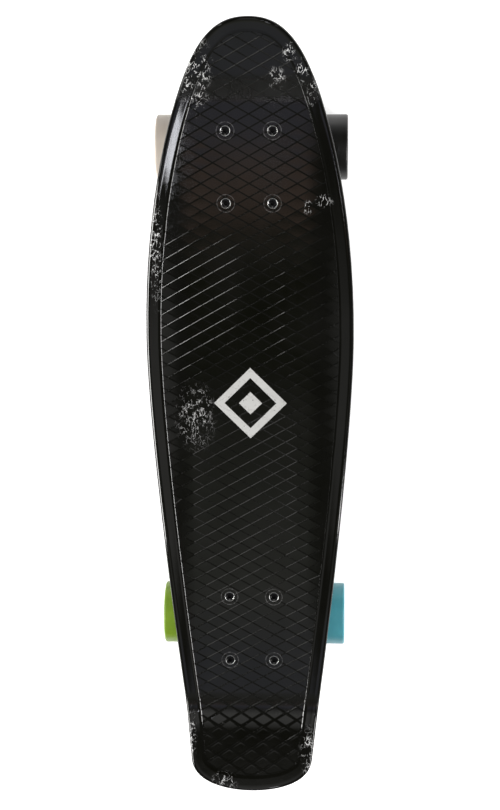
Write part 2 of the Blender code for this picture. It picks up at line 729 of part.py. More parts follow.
def spine_block(across, down):
    # The middle rib that ties the pivot arm to the ring and the tube
    tube = AXLE_POINT - RING_POINT
    pivot_at = PIVOT_POINT - RING_POINT
    outward = Vector((0, -PIVOT_IN.z, PIVOT_IN.y))
    reach = ARM_RADIUS * SPINE_INTO_ARM
    near = RING_RADIUS - WEB_INTO_RING
    thick = RING_THICKNESS / 2 - WEB_SHOULDER
    arm_top = pivot_at + PIVOT_IN * SPINE_FROM_PIVOT
    arm_end = pivot_at + PIVOT_IN * (ARM_LENGTH - ARM_END_TAPER)
    points = [across * near + down * thick, tube, tube + outward * TUBE_RADIUS * WEB_ON_TUBE,
              arm_top + outward * reach, arm_top - outward * reach, arm_end - outward * reach,
              across * near - down * thick]
    return slab(points, [SPINE_HALF] * len(points))


def wing_block(across, down):
    # The web between ring and tube, narrow at the ring and wide along the tube.
    # across and down are the directions in the ring's plane and along the kingpin.
    tube = AXLE_POINT - RING_POINT
    to_tube = tube.normalized()
    side = Vector((0, -to_tube.z, to_tube.y))
    near = RING_RADIUS - WEB_INTO_RING
    thick = RING_THICKNESS / 2 - WEB_SHOULDER
    low_in = across * near + down * thick
    low_out = tube - side * TUBE_RADIUS * WEB_ON_TUBE
    high_out = tube + side * TUBE_RADIUS * WEB_ON_TUBE
    high_in = across * near - down * thick
    halves = [WING_HALF_TOP, WING_HALF_BOTTOM, WING_HALF_BOTTOM, WING_HALF_TOP]
    return slab([low_in, low_out, high_out, high_in], halves)


def pivot_arm():
    # The round nose that turns in the cup, its neck and the arm behind, along +Z from the nose's centre
    turns = [math.pi / 2 * i / PIVOT_NOSE_STEPS for i in range(PIVOT_NOSE_STEPS + 1)]
    nose = [(PIVOT_NOSE_RADIUS * math.sin(turn), -PIVOT_NOSE_RADIUS * math.cos(turn)) for turn in turns]
    nose[0] = (0, -PIVOT_NOSE_RADIUS)
    neck = PIVOT_BOSS_FRONT
    arm = [(PIVOT_NECK_RADIUS, neck), (ARM_RADIUS, neck + PIVOT_NECK_FLARE),
           (ARM_RADIUS, ARM_LENGTH - ARM_END_TAPER), (ARM_RADIUS - ARM_END_TAPER / 2, ARM_LENGTH),
           (0, ARM_LENGTH)]
    return turned(nose + arm, ROUND_SIDES)


def hanger_mesh():
    # Its own frame has the ring's centre, a point of the steering axis, at zero
    across = Vector((0, math.cos(KINGPIN_LEAN), -math.sin(KINGPIN_LEAN)))
    tube_at = AXLE_POINT - RING_POINT
    half = HANGER_LENGTH / 2
    along = facing((1, 0, 0), tube_at)
    tube = turned([(0, -half), (TUBE_END_RADIUS, -half), (TUBE_RADIUS, -TUBE_TAPER_START),
                   (TUBE_RADIUS, TUBE_TAPER_START), (TUBE_END_RADIUS, half), (0, half)], ROUND_SIDES)
    moved(tube, along)
    eye = ring(RING_BORE_RADIUS, RING_RADIUS, -RING_THICKNESS / 2, RING_THICKNESS / 2, ROUND_SIDES)
    moved(eye, facing(KINGPIN_DOWN))
    arm = moved(pivot_arm(), facing(PIVOT_IN, PIVOT_POINT - RING_POINT))
    axle_bore = moved(rod(AXLE_RADIUS + SEAT_GAP, -half - CUT_BEYOND, half + CUT_BEYOND), along)
    web = wing_block(across, KINGPIN_DOWN)
    spine = spine_block(across, KINGPIN_DOWN)
    return carved("hanger", tube, added=[web, spine, eye, arm], removed=[axle_bore])


def axle_mesh():
    tip = AXLE_RADIUS - BOLT_CHAMFER
    full = AXLE_END_X - BOLT_CHAMFER
    section = [(0, -AXLE_END_X), (tip, -AXLE_END_X), (AXLE_RADIUS, -full), (AXLE_RADIUS, full),
               (tip, AXLE_END_X), (0, AXLE_END_X)]
    return finished(moved(turned(section, SMALL_SIDES), facing((1, 0, 0))), "axle")


def wheel_mesh():
    # Turned round X, with the middle of the bearing pair at zero. Its tread stands on a flat facet.
    half = WHEEL_WIDTH / 2
    seat = BEARING_RADIUS + SEAT_GAP
    shoulder = SPACER_HALF - SEAT_GAP
    mouth = BEARING_OUTSIDE + WHEEL_SEAT_DEPTH
    facet = math.pi / WHEEL_SIDES
    tread = WHEEL_RADIUS / math.cos(facet)
    right = [(WHEEL_CORE_INSIDE, shoulder), (seat, shoulder), (seat, mouth), (WHEEL_LIP_RADIUS, half),
             (tread - WHEEL_LIP_ROUND, half), (tread, half - WHEEL_LIP_ROUND)]
    left = [(radius, -at) for radius, at in reversed(right)]
    bm = moved(turned(right + left, WHEEL_SIDES), Matrix.Rotation(facet, 4, "Z"))
    return finished(moved(bm, facing((1, 0, 0))), "wheel")


def bearing_mesh():
    # The outer race with a seal pressed into each face, centred on its width
    half = BEARING_WIDTH / 2
    seal = half - SEAL_INSET
    lip = INNER_RACE_OUTSIDE + SEAL_LIP_GAP
    right = [(lip, seal), (OUTER_RACE_INSIDE, seal), (OUTER_RACE_INSIDE, half), (BEARING_RADIUS, half)]
    left = [(radius, -at) for radius, at in reversed(right)]
    return finished(moved(turned(right + left, BEARING_SIDES), facing((1, 0, 0))), "bearing")


def bearing_core_mesh():
    # What the axle nut clamps: speed washer, inner race, spacer, inner race, speed washer
    bore = AXLE_RADIUS + SEAT_GAP
    near = SPACER_HALF
    far = BEARING_OUTSIDE
    right = [(SPACER_RADIUS, near), (INNER_RACE_OUTSIDE, near), (INNER_RACE_OUTSIDE, far),
             (SPEED_WASHER_RADIUS, far), (SPEED_WASHER_RADIUS, CORE_HALF), (bore, CORE_HALF)]
    left = [(radius, -at) for radius, at in reversed(right)]
    return finished(moved(turned(right + left, BEARING_SIDES), facing((1, 0, 0))), "bearing_core")


def axle_nut_mesh():
    nut = hex_nut(AXLE_NUT_FLATS, AXLE_RADIUS + SEAT_GAP, AXLE_NUT_HEIGHT)
    return finished(moved(nut, facing((1, 0, 0), (-AXLE_NUT_HEIGHT / 2, 0, 0))), "axle_nut")


def make_truck(end, centre_y, turn):
    foot = empty(end + "_truck", None, (0, centre_y, DECK_UNDERSIDE_Z), turn)
    steer = empty(end + "_steer", foot, RING_POINT)
    piece(end + "_baseplate", baseplate_mesh(), cast_aluminium(), foot)
    piece(end + "_pivot_cup", pivot_cup_mesh(), cup_nylon(), foot)
    piece(end + "_kingpin", kingpin_mesh(), zinc_steel(), foot)
    board_washer = washer_mesh(BOARD_WASHER_RADIUS, BOARD_WASHER_AT, "board_washer")
    piece(end + "_board_washer", board_washer, zinc_steel(), foot)
    board_bushing = bushing_mesh(BOARD_BUSHING_AT, BOARD_BUSHING_HEIGHT, BUSHING_RADIUS, "board_bushing")
    piece(end + "_board_bushing", board_bushing, bushing_urethane(), foot)
    road_bushing = bushing_mesh(ROAD_BUSHING_AT, ROAD_BUSHING_HEIGHT, ROAD_BUSHING_END_RADIUS,
                                "road_bushing")
    piece(end + "_road_bushing", road_bushing, bushing_urethane(), foot)
    road_washer = washer_mesh(ROAD_WASHER_RADIUS, ROAD_WASHER_AT, "road_washer")
    piece(end + "_road_washer", road_washer, zinc_steel(), foot)
    piece(end + "_kingpin_nut", kingpin_nut_mesh(), zinc_steel(), foot)
    piece(end + "_hanger", hanger_mesh(), cast_aluminium(), steer)
    piece(end + "_axle", axle_mesh(), zinc_steel(), steer, AXLE_POINT - RING_POINT)
    return steer


def make_wheel(name, steer, side, urethane):
    # side is +1 or -1 along the truck's own X
    middle = AXLE_POINT - RING_POINT + Vector((side * WHEEL_X, 0, 0))
    spin = empty(name + "_spin", steer, middle)
    bearing_at = SPACER_HALF + BEARING_WIDTH / 2
    piece(name + "_wheel", wheel_mesh(), urethane, spin)
    piece(name + "_inner_bearing", bearing_mesh(), bearing_steel(), spin, (-side * bearing_at, 0, 0))
    piece(name + "_outer_bearing", bearing_mesh(), bearing_steel(), spin, (side * bearing_at, 0, 0))
    piece(name + "_bearing_core", bearing_core_mesh(), zinc_steel(), steer, middle)
    nut_out = CORE_HALF + SEAT_GAP + AXLE_NUT_HEIGHT / 2
    nut_at = middle + Vector((side * nut_out, 0, 0))
    piece(name + "_axle_nut", axle_nut_mesh(), zinc_steel(), steer, nut_at)


def main():
    clear_scene()
    make_deck()
    wheel_colours = {"front_left": cream_urethane(), "front_right": black_urethane(),
                     "rear_left": lime_urethane(), "rear_right": teal_urethane()}
    for end, centre_y, turn in (("front", FRONT_BOLT_CENTRE_Y, 0.0), ("rear", REAR_BOLT_CENTRE_Y, math.pi)):
        make_mounting_hardware(end, centre_y)
        steer = make_truck(end, centre_y, turn)
        ahead = 1 if end == "front" else -1
        for side_name, side in (("left", -ahead), ("right", ahead)):
            name = end + "_" + side_name
            make_wheel(name, steer, side, wheel_colours[name])


main()
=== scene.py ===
# Small plastic cruiser skateboard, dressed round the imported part.
# Metres. +Z up, +Y towards the nose, +X to the right as seen from above.

import math

import bmesh
import bpy
from mathutils import Matrix, Vector
from mathutils.geometry import interpolate_bezier


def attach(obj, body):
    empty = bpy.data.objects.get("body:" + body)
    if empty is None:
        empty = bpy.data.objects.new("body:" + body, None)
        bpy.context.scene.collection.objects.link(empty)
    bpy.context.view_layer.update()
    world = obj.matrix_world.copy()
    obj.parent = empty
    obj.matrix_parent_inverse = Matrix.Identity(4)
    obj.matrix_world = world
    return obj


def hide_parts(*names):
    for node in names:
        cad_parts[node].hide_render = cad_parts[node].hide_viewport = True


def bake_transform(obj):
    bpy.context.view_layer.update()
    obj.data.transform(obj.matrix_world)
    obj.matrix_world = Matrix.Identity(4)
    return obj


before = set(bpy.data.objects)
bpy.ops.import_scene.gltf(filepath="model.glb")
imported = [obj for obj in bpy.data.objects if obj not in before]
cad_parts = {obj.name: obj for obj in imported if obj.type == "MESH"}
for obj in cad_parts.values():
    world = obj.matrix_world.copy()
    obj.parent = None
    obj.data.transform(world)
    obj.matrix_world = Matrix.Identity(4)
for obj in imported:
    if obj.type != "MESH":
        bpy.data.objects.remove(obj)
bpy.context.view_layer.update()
print("frame loaded,", len(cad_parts), "nodes")


def clearSelection():
    active = bpy.context.view_layer.objects.active
    if active and active.mode != "OBJECT":
        bpy.ops.object.mode_set(mode="OBJECT")
    bpy.ops.object.select_all(action="DESELECT")


def pick(obj):
    clearSelection()
    obj.select_set(True)
    bpy.context.view_layer.objects.active = obj


def remove(*objects):
    for obj in objects:
        bpy.data.objects.remove(obj, do_unlink=True)


def selectFaces(obj, wanted):
    # in edit mode: only the faces that wanted() says yes to are left selected
    bpy.ops.mesh.select_mode(type="FACE")
    bpy.ops.mesh.select_all(action="DESELECT")
    bm = bmesh.from_edit_mesh(obj.data)
    for face in bm.faces:
        face.select = wanted(face)
    bm.select_flush_mode()
    bmesh.update_edit_mesh(obj.data)


def bisectFaces(obj, wanted, point, normal):
    selectFaces(obj, wanted)
    bpy.ops.mesh.bisect(plane_co=point, plane_no=normal, threshold=1e-6)


def inset(thickness, depth=0.0, each=False):
    bpy.ops.mesh.inset(thickness=thickness, depth=depth, use_individual=each, use_even_offset=True)


def faceOutwards():
    # the last step of a drawn mesh, which also leaves edit mode
    bpy.ops.mesh.select_all(action="SELECT")
    bpy.ops.mesh.normals_make_consistent(inside=False)
    bpy.ops.object.mode_set(mode="OBJECT")


def drawLine(name, points, closed=False):
    # a plane merged to one vertex, which is pulled from point to point
    clearSelection()
    bpy.ops.mesh.primitive_plane_add(size=0.01, location=(0, 0, 0))
    obj = bpy.context.object
    obj.name = name
    bpy.ops.object.mode_set(mode="EDIT")
    bpy.ops.mesh.select_mode(type="VERT")
    bpy.ops.mesh.select_all(action="SELECT")
    bpy.ops.mesh.merge(type="CENTER")
    points = [Vector(p) for p in points]
    bpy.ops.transform.translate(value=points[0])
    if closed:
        points.append(points[0])
    for before, after in zip(points, points[1:]):
        bpy.ops.mesh.extrude_vertices_move(TRANSFORM_OT_translate={"value": after - before})
    if closed:
        bpy.ops.mesh.select_all(action="SELECT")
        bpy.ops.mesh.remove_doubles(threshold=1e-6)
    return obj


def turned(name, section, steps, ring=False):
    # spins a half section of (radius, height) points round Z
    obj = drawLine(name, [(radius, 0, height) for radius, height in section], closed=ring)
    bpy.ops.mesh.select_all(action="SELECT")
    bpy.ops.mesh.spin(steps=steps, angle=math.tau, center=(0, 0, 0), axis=(0, 0, 1))
    bpy.ops.mesh.select_all(action="SELECT")
    bpy.ops.mesh.remove_doubles(threshold=2e-6)
    faceOutwards()
    return obj


def rod(name, radius, low, high, steps):
    return turned(name, [(0, low), (radius, low), (radius, high), (0, high)], steps)


def hexBlock(radius, low, high):
    clearSelection()
    bpy.ops.mesh.primitive_cylinder_add(vertices=6, radius=radius, depth=high - low,
                                        location=(0, 0, (low + high) / 2))
    return bpy.context.object


def pulled(name, points, by):
    # a closed outline, filled and pulled into a block
    obj = drawLine(name, points, closed=True)
    bpy.ops.mesh.edge_face_add()
    bpy.ops.mesh.extrude_region_move(TRANSFORM_OT_translate={"value": by})
    faceOutwards()
    return obj


def slab(name, points, halves):
    # a block from the points of a side view, each with its own half width
    obj = pulled(name, [(0, p.y, p.z) for p in points], (1, 0, 0))
    for vert in obj.data.vertices:
        off = [math.hypot(vert.co.y - p.y, vert.co.z - p.z) for p in points]
        half = halves[off.index(min(off))]
        vert.co.x = half if vert.co.x > 0.5 else -half
    pick(obj)
    bpy.ops.object.mode_set(mode="EDIT")
    faceOutwards()
    return obj


def place(obj, matrix):
    # the place goes into the mesh, and the object stays at the origin
    pick(obj)
    obj.matrix_world = matrix
    bpy.ops.object.transform_apply(location=True, rotation=True, scale=True)
    return obj


def copyOf(obj, name):
    pick(obj)
    bpy.ops.object.duplicate(linked=False)
    twin = bpy.context.object
    twin.name = name
    return twin


def modify(obj, name, kind, **settings):
    # adds a modifier and applies it
    pick(obj)
    step = obj.modifiers.new(name, kind)
    for key, value in settings.items():
        setattr(step, key, value)
    bpy.ops.object.modifier_apply(modifier=step.name)


def combine(obj, tool, operation):
    modify(obj, "join", "BOOLEAN", operation=operation, solver="EXACT", object=tool)
    remove(tool)


def castForm(obj, voxel, passes):
    # one skin over joined blocks, smoothed so that the inner corners fill as in a casting
    modify(obj, "skin", "REMESH", mode="VOXEL", voxel_size=voxel)
    modify(obj, "fillet", "SMOOTH", factor=0.5, iterations=passes)


def shade(obj, angle):
    pick(obj)
    bpy.ops.object.shade_smooth_by_angle(angle=math.radians(angle))
    return obj


def facing(direction, point=(0, 0, 0)):
    # carries +Z onto the direction, keeping X across the board
    z = Vector(direction).normalized()
    x = Vector((1, 0, 0)) if abs(z.x) < 0.9 else Vector((0, 1, 0))
    y = z.cross(x).normalized()
    x = y.cross(z)
    return Matrix.Translation(point) @ Matrix((x, y, z)).transposed().to_4x4()


def arc(centre, radius, start, stop, steps):
    # points of a round corner in (radius, height), angles in degrees
    turns = [math.radians(start + (stop - start) * i / steps) for i in range(steps + 1)]
    return [(centre[0] + radius * math.cos(t), centre[1] + radius * math.sin(t)) for t in turns]


def bothSides(right):
    # a section drawn for one side, with its mirror image after it
    return right + [(r, -z) for r, z in reversed(right)]


def fit(obj, body, node, slotName):
    # hands a finished piece to the part; a slot without a material leaves the piece its own
    if slotName in slotMaterials:
        obj.data.materials.clear()
        obj.data.materials.append(slotMaterials[slotName])
    if body:
        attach(obj, body)
    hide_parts(node)
    return obj


def camelName(words):
    first, *rest = words.split("_")
    return first + "".join(word.capitalize() for word in rest)


def install(source, matrix, body, node, slotName):
    # a copy of a modelled piece, put in its place
    return fit(place(copyOf(source, camelName(node)), matrix), body, node, slotName)


def newMaterial(name):
    mat = bpy.data.materials.new(name)
    mat.use_nodes = True
    return mat, mat.node_tree, mat.node_tree.nodes["Principled BSDF"]


def connect(tree, socket, value):
    # a link, a number or a colour
    if isinstance(value, bpy.types.NodeSocket):
        tree.links.new(value, socket)
    elif socket.type == "RGBA" and len(value) == 3:
        socket.default_value = (*value, 1)
    else:
        socket.default_value = value


def setInputs(tree, node, **inputs):
    for key, value in inputs.items():
        connect(tree, node.inputs[key.replace("_", " ")], value)


def addNode(tree, kind, settings=None, **inputs):
    node = tree.nodes.new(kind)
    for key, value in (settings or {}).items():
        setattr(node, key, value)
    setInputs(tree, node, **inputs)
    return node


def objectPoint(tree, scale=(1, 1, 1), shift=(0, 0, 0), turn=(0, 0, 0)):
    point = addNode(tree, "ShaderNodeTexCoord").outputs["Object"]
    return addNode(tree, "ShaderNodeMapping", Vector=point, Location=shift, Rotation=turn,
                   Scale=scale).outputs["Vector"]


def objectAxes(tree):
    return addNode(tree, "ShaderNodeSeparateXYZ", Vector=objectPoint(tree)).outputs


def noise(tree, point, scale, detail=4.0, roughness=0.5):
    return addNode(tree, "ShaderNodeTexNoise", Vector=point, Scale=scale, Detail=detail,
                   Roughness=roughness).outputs["Fac"]


def ramp(tree, value, low, high, fromValue=0.0, toValue=1.0):
    return addNode(tree, "ShaderNodeMapRange", {"interpolation_type": "SMOOTHSTEP"}, Value=value,
                   From_Min=low, From_Max=high, To_Min=fromValue, To_Max=toValue).outputs["Result"]


def blendColour(tree, share, first, second):
    node = addNode(tree, "ShaderNodeMix", {"data_type": "RGBA"})
    for index, value in ((0, share), (6, first), (7, second)):   # the sockets of a colour mix
        connect(tree, node.inputs[index], value)
    return node.outputs[2]


def mathStep(tree, operation, first, second=0.0):
    node = addNode(tree, "ShaderNodeMath", {"operation": operation})
    for socket, value in zip(node.inputs, (first, second)):
        connect(tree, socket, value)
    return node.outputs[0]


def times(tree, first, second):
    return mathStep(tree, "MULTIPLY", first, second)


def plus(tree, first, second):
    return mathStep(tree, "ADD", first, second)


def greatest(tree, shares):
    total = shares[0]
    for share in shares[1:]:
        total = mathStep(tree, "MAXIMUM", total, share)
    return total


def awayFrom(tree, value, middle):
    return mathStep(tree, "ABSOLUTE", mathStep(tree, "SUBTRACT", value, middle))


def softBand(tree, value, middle, half, share=1.0):
    # the whole share in the middle, fading out round the edges
    return ramp(tree, awayFrom(tree, value, middle), half * 0.6, half * 1.4, share, 0.0)


def lengthOf(tree, vector):
    node = addNode(tree, "ShaderNodeVectorMath", {"operation": "LENGTH"})
    tree.links.new(vector, node.inputs[0])
    return node.outputs["Value"]


def bumpFrom(tree, shader, height, strength, distance, below=None):
    bump = addNode(tree, "ShaderNodeBump", Height=height, Strength=strength, Distance=distance)
    if below:
        tree.links.new(below, bump.inputs["Normal"])
    tree.links.new(bump.outputs["Normal"], shader.inputs["Normal"])
    return bump.outputs["Normal"]


def wornMaterial(name, look):
    # one base for all the finishes: mottled colour, paler worn edges, uneven gloss and fine grain
    mat, tree, shader = newMaterial(name)
    point = objectPoint(tree)
    mottle = noise(tree, point, look["mottle"], 5.0, 0.6)
    base = blendColour(tree, ramp(tree, mottle, 0.3, 0.7), look["colour"], look["shade"])
    pointiness = addNode(tree, "ShaderNodeNewGeometry").outputs["Pointiness"]
    chips = ramp(tree, noise(tree, point, look["mottle"] * 6, 3.0), 0.35, 0.6, 0.0, look["wear"])
    worn = times(tree, ramp(tree, pointiness, 0.52, 0.62), chips)   # the outer edges alone
    setInputs(tree, shader, Base_Color=blendColour(tree, worn, base, look["edge"]),
              Roughness=ramp(tree, mottle, 0.25, 0.75, *look["gloss"]), Metallic=look["metal"],
              Specular_IOR_Level=look.get("specular", 0.5))
    scale, depth = look["grain"]
    bumpFrom(tree, shader, noise(tree, point, scale, 3.0, 0.6), depth, 0.0005)
    return mat


# grain: scale and depth
finishLooks = {
    "castMetal": {"slot": "cast_aluminium", "colour": (0.50, 0.51, 0.52), "shade": (0.40, 0.41, 0.42),
                  "edge": (0.68, 0.69, 0.70), "mottle": 60.0, "wear": 0.7, "gloss": (0.34, 0.48),
                  "metal": 1.0, "grain": (1100.0, 0.35)},
    "zincPlate": {"slot": "zinc_steel", "colour": (0.62, 0.62, 0.60), "shade": (0.50, 0.51, 0.52),
                  "edge": (0.74, 0.73, 0.70), "mottle": 150.0, "wear": 0.6, "gloss": (0.22, 0.36),
                  "metal": 1.0, "grain": (2500.0, 0.12)},
    "raceSteel": {"slot": "bearing_steel", "colour": (0.68, 0.68, 0.68), "shade": (0.58, 0.58, 0.59),
                  "edge": (0.8, 0.8, 0.8), "mottle": 200.0, "wear": 0.4, "gloss": (0.14, 0.26),
                  "metal": 1.0, "grain": (3000.0, 0.06)},
    "bushingRubber": {"slot": "bushing_urethane", "colour": (0.030, 0.030, 0.030),
                      "shade": (0.045, 0.043, 0.040), "edge": (0.09, 0.088, 0.085), "mottle": 90.0,
                      "wear": 0.5, "gloss": (0.38, 0.55), "metal": 0.0, "grain": (1500.0, 0.15)},
    "cupNylon": {"slot": "cup_nylon", "colour": (0.05, 0.05, 0.05), "shade": (0.035, 0.035, 0.036),
                 "edge": (0.1, 0.1, 0.1), "mottle": 120.0, "wear": 0.4, "gloss": (0.42, 0.55),
                 "metal": 0.0, "grain": (1800.0, 0.15)},
    "blackZinc": {"slot": "black_zinc", "colour": (0.008, 0.008, 0.009), "shade": (0.012, 0.012, 0.013),
                  "edge": (0.30, 0.30, 0.29), "mottle": 300.0, "wear": 0.5, "gloss": (0.26, 0.40),
                  "metal": 0.6, "grain": (2200.0, 0.10), "specular": 0.3},
}
slotMaterials = {look["slot"]: wornMaterial(name, look) for name, look in finishLooks.items()}

wheelLooks = {
    "front_left": {"slot": "cream_urethane", "colour": (0.68, 0.61, 0.54), "shade": (0.60, 0.53, 0.46),
                   "edge": (0.76, 0.70, 0.64)},
    "front_right": {"slot": "black_urethane", "colour": (0.005, 0.005, 0.004),
                    "shade": (0.008, 0.008, 0.007), "edge": (0.06, 0.055, 0.05)},
    "rear_left": {"slot": "lime_urethane", "colour": (0.23, 0.37, 0.022), "shade": (0.18, 0.31, 0.018),
                  "edge": (0.42, 0.58, 0.12)},
    "rear_right": {"slot": "teal_urethane", "colour": (0.100, 0.43, 0.51), "shade": (0.080, 0.37, 0.45),
                   "edge": (0.26, 0.56, 0.60)},
}
urethaneLook = {"mottle": 45.0, "wear": 0.5, "gloss": (0.30, 0.42), "metal": 0.0, "grain": (1400.0, 0.10),
                "scatter": 0.08, "scatterReach": (0.004, 0.003, 0.002),
                "lineStretch": (1, 0.04, 0.04), "lineScale": 1500.0, "lineDepth": 0.12}


def urethaneMaterial(name, look):
    # cast urethane: soft scatter under the skin, and faint lines round the tread
    look = dict(look, **urethaneLook)
    mat = wornMaterial(name, look)
    tree = mat.node_tree
    shader = tree.nodes["Principled BSDF"]
    setInputs(tree, shader, Subsurface_Weight=look["scatter"], Subsurface_Radius=look["scatterReach"],
              Subsurface_Scale=1.0)
    lines = noise(tree, objectPoint(tree, look["lineStretch"]), look["lineScale"], 2.0)
    grain = shader.inputs["Normal"].links[0].from_socket
    bumpFrom(tree, shader, lines, look["lineDepth"], 0.0004, below=grain)
    return mat


for name, look in wheelLooks.items():
    slotMaterials[look["slot"]] = urethaneMaterial(camelName(name + "_urethane"), look)

deckLook = {
    "colour": (0.0020, 0.0020, 0.0013), "dust": (0.0048, 0.0047, 0.0040), "edge": (0.018, 0.018, 0.016),
    "gloss": (0.045, 0.09), "rimGloss": (0.025, 0.055), "side": (0.05, 0.10), "sideSpecular": 0.2,
    "ink": (0.50, 0.50, 0.49), "inkShade": (0.44, 0.44, 0.43), "inkDull": 0.25,
    "printCentre": (0.0, 0.0125), "printRings": ((0.0, 0.0105), (0.0235, 0.0330)), "printSoft": 0.00015,
    # colour of the painted glints, and how much duller the surface is under them
    "paintedGlintColour": (0.80, 0.80, 0.80), "paintedGlintDull": 0.2,
    # a painted highlight ring round each bolt hole
    "seatGlintRing": (0.0078, 0.0002, 0.0006), "seatGlintRingShare": 0.07,   # radius, half width, faded out
    "bends": ((0.2945, 0.0105, 0.22), (-0.277, 0.006, 0.16)),   # middle, half length, extra roughness
}
# painted glints, laid on as pale crinkle marks in the deck's colour: centre, half size and strength
paintedGlintPlaces = [((-0.047, 0.309), (0.015, 0.034), 1.0), ((0.036, 0.325), (0.006, 0.009), 0.8),
               ((0.046, 0.309), (0.006, 0.011), 0.9), ((0.056, 0.290), (0.005, 0.011), 0.9),
               ((0.024, 0.303), (0.008, 0.010), 0.8), ((-0.083, 0.160), (0.006, 0.055), 0.8),
               ((-0.060, -0.312), (0.007, 0.026), 0.9), ((0.053, -0.322), (0.007, 0.020), 0.7),
               ((-0.026, -0.350), (0.012, 0.010), 0.8), ((-0.050, 0.000), (0.017, 0.030), 0.5),
               ((0.066, 0.197), (0.008, 0.006), 0.7), ((0.052, 0.191), (0.005, 0.006), 0.8)]


def paintedGlintShare(tree, point):
    # painted glints: fine pale crinkle marks inside soft oval patches
    patches = []
    for (x, y), (halfX, halfY), strength in paintedGlintPlaces:
        local = objectPoint(tree, (1 / halfX, 1 / halfY, 0), (-x / halfX, -y / halfY, 0))
        patches.append(ramp(tree, lengthOf(tree, local), 0.35, 1.25, strength, 0.0))
    # the marks are thin contour lines of a noise, broken up by a coarser one
    marks = awayFrom(tree, noise(tree, objectPoint(tree, (1.0, 0.5, 1.0)), 330.0, 2.0, 0.6), 0.5)
    clumps = noise(tree, point, 160.0, 3.0, 0.6)
    marks = times(tree, ramp(tree, marks, 0.012, 0.035, 1.0, 0.0), ramp(tree, clumps, 0.44, 0.58))
    return times(tree, marks, greatest(tree, patches))


def printShare(tree):
    # a plain badge: one lozenge inside another, printed flat over the tread
    place, soft, (x, y) = objectAxes(tree), deckLook["printSoft"], deckLook["printCentre"]
    reach = plus(tree, awayFrom(tree, place["X"], x), awayFrom(tree, place["Y"], y))
    rings = []
    for inside, outside in deckLook["printRings"]:
        ring = ramp(tree, reach, outside - soft, outside + soft, 1.0, 0.0)
        if inside:
            ring = times(tree, ring, ramp(tree, reach, inside - soft, inside + soft))
        rings.append(ring)
    return greatest(tree, rings)


def seatGlintRing(tree):
    # a painted highlight: a faint pale ring round each bolt hole
    b, s, place = boltSize, deckSize, objectAxes(tree)
    across = awayFrom(tree, mathStep(tree, "ABSOLUTE", place["X"]), b["acrossBoard"] / 2)
    along = mathStep(tree, "MINIMUM", *(awayFrom(tree, awayFrom(tree, place["Y"], y), b["alongBoard"] / 2)
                                        for y in (s["frontBolts"], s["rearBolts"])))
    out = mathStep(tree, "SQRT", plus(tree, times(tree, across, across), times(tree, along, along)))
    radius, inside, outside = deckLook["seatGlintRing"]
    return ramp(tree, awayFrom(tree, out, radius), inside, outside, deckLook["seatGlintRingShare"], 0.0)


def bendHaze(tree):
    # the plastic is duller where the ends of the board start to curve
    y = objectAxes(tree)["Y"]
    return greatest(tree, [softBand(tree, y, *bend) for bend in deckLook["bends"]])


def deckPlastic(name, gloss, printed=False, specular=0.5):
    # moulded polypropylene: deep black, a hair of dust, with painted glints as pale crinkle marks in places
    mat, tree, shader = newMaterial(name)
    look, point = deckLook, objectPoint(tree)
    cloud = noise(tree, point, 14.0, 6.0, 0.6)
    base = blendColour(tree, ramp(tree, cloud, 0.35, 0.75, 0.0, 0.8), look["colour"], look["dust"])
    speckle = noise(tree, point, 900.0, 3.0, 0.7)
    base = blendColour(tree, ramp(tree, speckle, 0.66, 0.78, 0.0, 0.35), base, look["edge"])
    streak = noise(tree, objectPoint(tree, (1.0, 0.25, 1.0), turn=(0, 0, 0.4)), 60.0, 5.0, 0.65)
    rough = ramp(tree, streak, 0.3, 0.7, *gloss)
    if printed:
        wornInk = ramp(tree, noise(tree, point, 420.0, 6.0, 0.7), 0.30, 0.40)
        ink = blendColour(tree, ramp(tree, cloud, 0.3, 0.7), look["ink"], look["inkShade"])
        inked = times(tree, wornInk, printShare(tree))
        base = blendColour(tree, inked, base, ink)
        rough = plus(tree, rough, times(tree, inked, look["inkDull"]))
        # painted highlight: the faint pale ring round each bolt hole, broken up by noise
        broken = ramp(tree, noise(tree, point, 500.0, 3.0), 0.40, 0.60, 0.2, 1.0)
        base = blendColour(tree, times(tree, broken, seatGlintRing(tree)), base, look["paintedGlintColour"])
    rough = plus(tree, rough, bendHaze(tree))
    # painted glints: pale crinkle marks blended into the base colour
    paintedGlints = paintedGlintShare(tree, point)
    rough = plus(tree, rough, times(tree, paintedGlints, look["paintedGlintDull"]))
    setInputs(tree, shader, Base_Color=blendColour(tree, paintedGlints, base, look["paintedGlintColour"]),
              Roughness=rough, Specular_IOR_Level=specular)
    fine = bumpFrom(tree, shader, noise(tree, point, 1600.0, 3.0, 0.6), 0.02, 0.0003)
    bumpFrom(tree, shader, noise(tree, point, 38.0, 3.0, 0.5), 0.03, 0.0012, below=fine)
    return mat


deckSize = {
    "length": 0.712, "width": 0.1862, "widestY": 0.073,
    "shoulderX": 0.050, "shoulderBack": 0.0366, "shoulderSlope": 0.50,
    "tipHandle": 0.0165, "capHandle": 0.035, "sideHandle": 0.036, "frontWaist": 0.127, "rearWaist": 0.092,
    "cornerX": 0.057, "cornerBack": 0.0262, "tailSlope": 0.13, "tailSide": 0.100, "tailCorner": 0.024,
    "tailEnd": 0.014, "steps": (22, 16, 34, 20),
    "topZ": 0.0975, "thick": 0.012, "skin": 0.0046, "roundTop": 0.003, "roundBottom": 0.0024,
    "border": 0.013, "bandRows": 4, "edgeRow": 0.0006, "concave": 0.0045, "flatHalf": 0.032,
    "frontBolts": 0.226, "rearBolts": -0.206,
    "noseStart": 0.058, "noseAngle": 10, "noseRadius": 0.120,
    "tailStart": 0.066, "tailAngle": 27, "tailRadius": 0.070,
    "bendRows": 8, "cupLines": (0.032, 0.045, 0.058, 0.070, 0.082),
}
